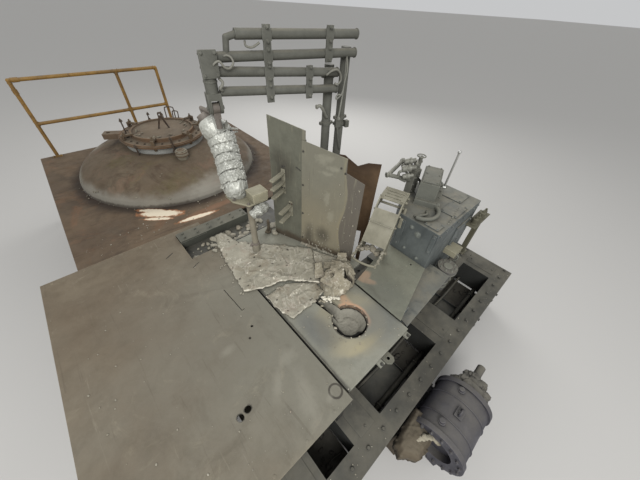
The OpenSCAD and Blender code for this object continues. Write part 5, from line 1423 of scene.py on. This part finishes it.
# Bed, drum, launder, posts
def bed():
    """Bed bolts, cover plates, pipes in the window bays, feet, edge tabs and what lies in the bays."""
    f = Forms()
    bridges = ((0, 250), (530, 300), (1700, 380), (2950, 300))
    for y in (-50, 430, 1130):
        for x in range(70, 3230, 175):
            under_table = y == 430 and 650 < x < 1366
            if not under_table:
                f.bolt((x, y, BED_Z), UP, 24)
    for x, w in bridges:
        for y, long in ((185, 318), (775, 540)):
            f.block((x + w / 2, y, BED_Z + 2), (w / 3 + 60, long, 4), bevel=1.5)
            f.bolts([(x + w / 2, y + s * (long / 2 - 30), BED_Z + 4) for s in (-1, 1)], UP, 14)
    for x0, x1 in ((840, 1690), (2090, 2940)):
        f.tube([(x0, 80, 330), (x1, 80, 330)], 24, 16, curve=False)
        f.tube([(x0, 300, 360), ((x0 + x1) / 2, 290, 352), (x1, 300, 360)], 15, 12)
        for x in (x0 + 120, x1 - 160):
            f.collar((x, 80, 330), EAST, 25, 33, 16, 24)
            f.block((x + 60, 80, 300), (30, 60, 40), bevel=3)
    f.bolts([(1321, 216, 973), (971, 216, 973)], UP, 20, stud=10)
    f.bolts([(x, -130, z) for x in (430, 1400, 2400, 2900) for z in (360, 480)], SOUTH, 26)
    for x, w in bridges:
        for y in (-50, 430, 1130):
            for s in (-1, 1):
                f.block((x + w / 2 + s * 112, y, 12), (40, 110, 22), bevel=4)
                f.bolt((x + w / 2 + s * 116, y, 23), UP, 26, stud=14)
    f.piece("bed_fittings", "bed_steel")
    f = Forms()
    for outline in (
            [(1052, 276), (1004, 272), (1008, 190), (1034, 166), (1070, 168), (1090, 190), (1092, 274)],
            [(1352, 276), (1318, 274), (1322, 224), (1348, 220)]):
        f.rag(outline, 6, level(966), level(954), 0.8)
    f.lathe((1048, 212, 966), UP, [(13, -4), (13, 1), (20, 2), (22, 0)], 24)
    f.piece("edge_tabs", "launder_steel")
    f = Forms()
    for x, w in ((390, 270), (1545, 300), (2725, 440)):
        f.block((x, 185, 273), (w, 340, 5), bevel=1.5)
        f.tube([(x - w * 0.4, 60, 280), (x, 90, 282), (x + w * 0.42, 70, 280)], 8, 8)
        for _ in range(14):
            s = rng.uniform(5, 20)
            spot = (x + rng.uniform(-0.45, 0.45) * w, rng.uniform(40, 320), 276 + s * 0.3)
            f.crumb(spot, s, (1.5, 1, 0.6))
    f.piece("bay_sheets", "black_steel")
    drum()
    clinker()


def drum():
    """Flange bolts, bands, lifting eye and plugs of the side cylinder, and the crust on its cap."""
    f = Forms()
    axis = Vector((0, DRUM_Y, DRUM_Z))
    for p in hoop(axis, 200, 16, NORTH, UP)[:-1]:
        f.bolt(p + Vector((1500, 0, 0)), EAST, 22, stud=8)
        f.bolt(p + Vector((1000, 0, 0)), WEST, 22, stud=8)
    f.bolts(hoop(axis + Vector((1590, 0, 0)), 140, 10, NORTH, UP)[:-1], EAST, 20)
    for x in (1150, 1345):
        f.tube(hoop(axis + Vector((x, 0, 0)), 216, 90, NORTH, UP), 6, 8, curve=False)
    f.block((1250, DRUM_Y, 722), (90, 60, 14), bevel=4)
    eye = ((1225, 722), (1225, 752), (1250, 772), (1275, 752), (1275, 722))
    f.tube([(x, DRUM_Y, z) for x, z in eye], 9, 12, 6)
    for x in (1100, 1420):
        plug = [(26, -6), (26, 14), (20, 16), (20, 34), (14, 36)]
        f.lathe((x, DRUM_Y + 60, 706), (0, 0.28, 0.96), plug, 24)
    f.piece("drum_fittings", "drum_paint")
    f = Forms()
    for _ in range(26):
        x, a = rng.uniform(1520, 1720), rng.uniform(0.5, 2.6)
        r = 0.95 * (170 if x < 1590 else 125 - (x - 1590) * 0.25)
        s = rng.uniform(18, 46)
        f.crumb((x, DRUM_Y + r * math.cos(a), DRUM_Z + r * math.sin(a)), s, (1, 1, 0.5), 0.4, 3)
    f.piece("cap_crust", "cap_steel")


def clinker():
    """Brown clinker lump on its post beside the bed, and the chalk streak over it."""
    f = Forms()

    def heap(x, y, d):
        rough = 9 * fbm((x, y, 0), 70, 4) + 4 * fbm((x, y, 0), 16, 3)
        return 560 + 46 * min(1, d / 30) + 26 * min(1.0, d / 90) + rough

    outline = [(862, -146), (1095, -128), (1120, -210), (1010, -352), (820, -347), (737, -234), (770, -170)]
    f.rag(outline, 9, heap, level(470), 12)
    f.block((930, -200, 240), (110, 100, 480), bevel=6)
    f.piece("clinker", "brown_lump")
    f = Forms()
    streak = smooth_path([(900, -262, 628), (950, -290, 636), (1000, -330, 628), (1012, -366, 602),
                          (1030, -392, 560)], 6)
    for i, p in enumerate(streak):
        s = 9 + 9 * math.sin(math.pi * i / len(streak)) + rng.uniform(-2, 4)
        f.crumb(p + Vector((rng.uniform(-4, 4), rng.uniform(-4, 4), 0)), s, (1.3, 1, 0.45), 0.4)
    f.piece("chalk_streak", "cup_crust")


def launder():
    """Bolts and weld of the launder beam, broken crust in the pan and beyond it, and a burnt rod."""
    f = Forms()
    for x in range(400, 1120, 140):
        f.bolt((x, 2440, 1020), UP, 19, stud=6)
        f.bolt((x, 2512, 1020), UP, 19)
    f.weld([(340, 2400, 1002), (620, 2400, 1002)], 3.5, 4)
    f.piece("launder_bolts", "launder_steel")
    f = Forms()
    for _ in range(90):
        t = rng.random()
        x, y = 360 + 900 * t, 2130 + rng.random() ** 2 * 230
        s = rng.uniform(7, 26) * (1.3 if t > 0.3 else 0.8)
        f.crumb((x, y, 916 + s * 0.35), s, (1.3, 1, 0.6))
    for x, y, z, s in ((620, 2240, 1012, 26), (660, 2190, 1014, 18), (590, 2160, 1006, 22),
                       (560, 2080, 1006, 16), (1315, 2040, 1000, 40), (1400, 1990, 998, 34),
                       (1250, 2050, 1000, 30), (1200, 1930, 1000, 26), (1290, 1850, 998, 22),
                       (1350, 1760, 997, 20)):
        f.crumb((x, y, z), s, (1.6, 1, 0.7), 0.5, 3)
    f.piece("launder_crust", "crust_sheet")
    f = Forms()
    f.tube([(1150, 1990, 1012), (1128, 1930, 1130), (1110, 1900, 1240)], 15, 12, rough=3)
    f.lump((1152, 1992, 1010), (40, 32, 24), 0.4, 3)
    f.piece("burnt_rod", "brown_lump")


def posts():
    """Bolted feet of the deck and table posts, hoop bolts of the furnace shell, and rivets of the deck."""
    f = Forms()
    feet = [(x, y, 80) for x in (-780, -140) for y in (220, 1880, 2532)] + [(540, 1600, 60)]
    feet += [(x, y, 80) for x in (-505, 2325) for y in (2642, 4002, 5362)]
    feet += [(910, 2642, 80), (650, 2030, 60), (1540, 2030, 60)]
    for x, y, w in feet:
        c = Vector((x + w / 2, y + w / 2, 0))
        for s in (-1, 1):
            f.block(c + Vector((s * (w / 2 + 9), 0, 8)), (18, w + 8, 16), bevel=3)
            f.bolt(c + Vector((s * (w / 2 + 9), 0, 16)), UP, 14, stud=8)
            edge = w / 2 + 1
            f.tube([c + Vector((s * edge, end * edge, 17)) for end in (-1, 1)], 3, 6, curve=False)
    for z in (360, 680):
        f.bolts(hoop(polar(0, 0, z), 1147, 24)[:-1], UP, 22, stud=6)
    f.piece("post_feet", "frame_steel")
    f = Forms()
    for x in range(-720, 600, 240):
        for y in (232, 2600):
            if not (x > 300 and y > 2000):
                f.lathe((x, y, DECK_Z), UP, [(11, 0), (9, 1.6), (4, 2.2)], 18)
    f.weld([(645, 400, 986), (646, 930, 986)], 3.2, 3.5)
    f.piece("deck_rivets", "deck_plate")


# The builders share one run of random numbers, so their order stays.
for build in (foil_wrap, foil_ends, sensor_box, arm_details, crusts, cup, keyhole, grit, lid, rail, gantry,
              shields, block, ladle, bed, launder, posts):
    build()


# Stage
SCENE.view_settings.view_transform = "Standard"


def make_stage():
    """A pale floor under the plant and an even grey sky."""
    bpy.ops.mesh.primitive_plane_add(size=300, location=(0, 0, -0.002))
    floor = bpy.context.object
    floor.name = "floor"
    t = Tree("floor")
    t.color = rgb(196, 194, 190)
    floor.data.materials.append(t.finish(0.9))
    world = bpy.data.worlds.new("world")
    SCENE.world = world
    world.use_nodes = True
    bg = world.node_tree.nodes["Background"]
    bg.inputs["Color"].default_value = (0.86, 0.87, 0.88, 1)
    bg.inputs["Strength"].default_value = 0.65


def area(name, loc, size, power):
    """A square lamp that is turned to the middle of the plant."""
    light = bpy.data.lights.new(name, "AREA")
    light.energy = power
    light.size = size
    lamp = bpy.data.objects.new(name, light)
    SCENE.collection.objects.link(lamp)
    lamp.location = loc
    lamp.rotation_euler = (Vector((0, 0, 0.8)) - Vector(loc)).to_track_quat("-Z", "Y").to_euler()


make_stage()
area("key", (-4.5, -5.5, 6.5), 4.0, 520)
area("fill", (5.0, 4.0, 5.0), 5.0, 210)
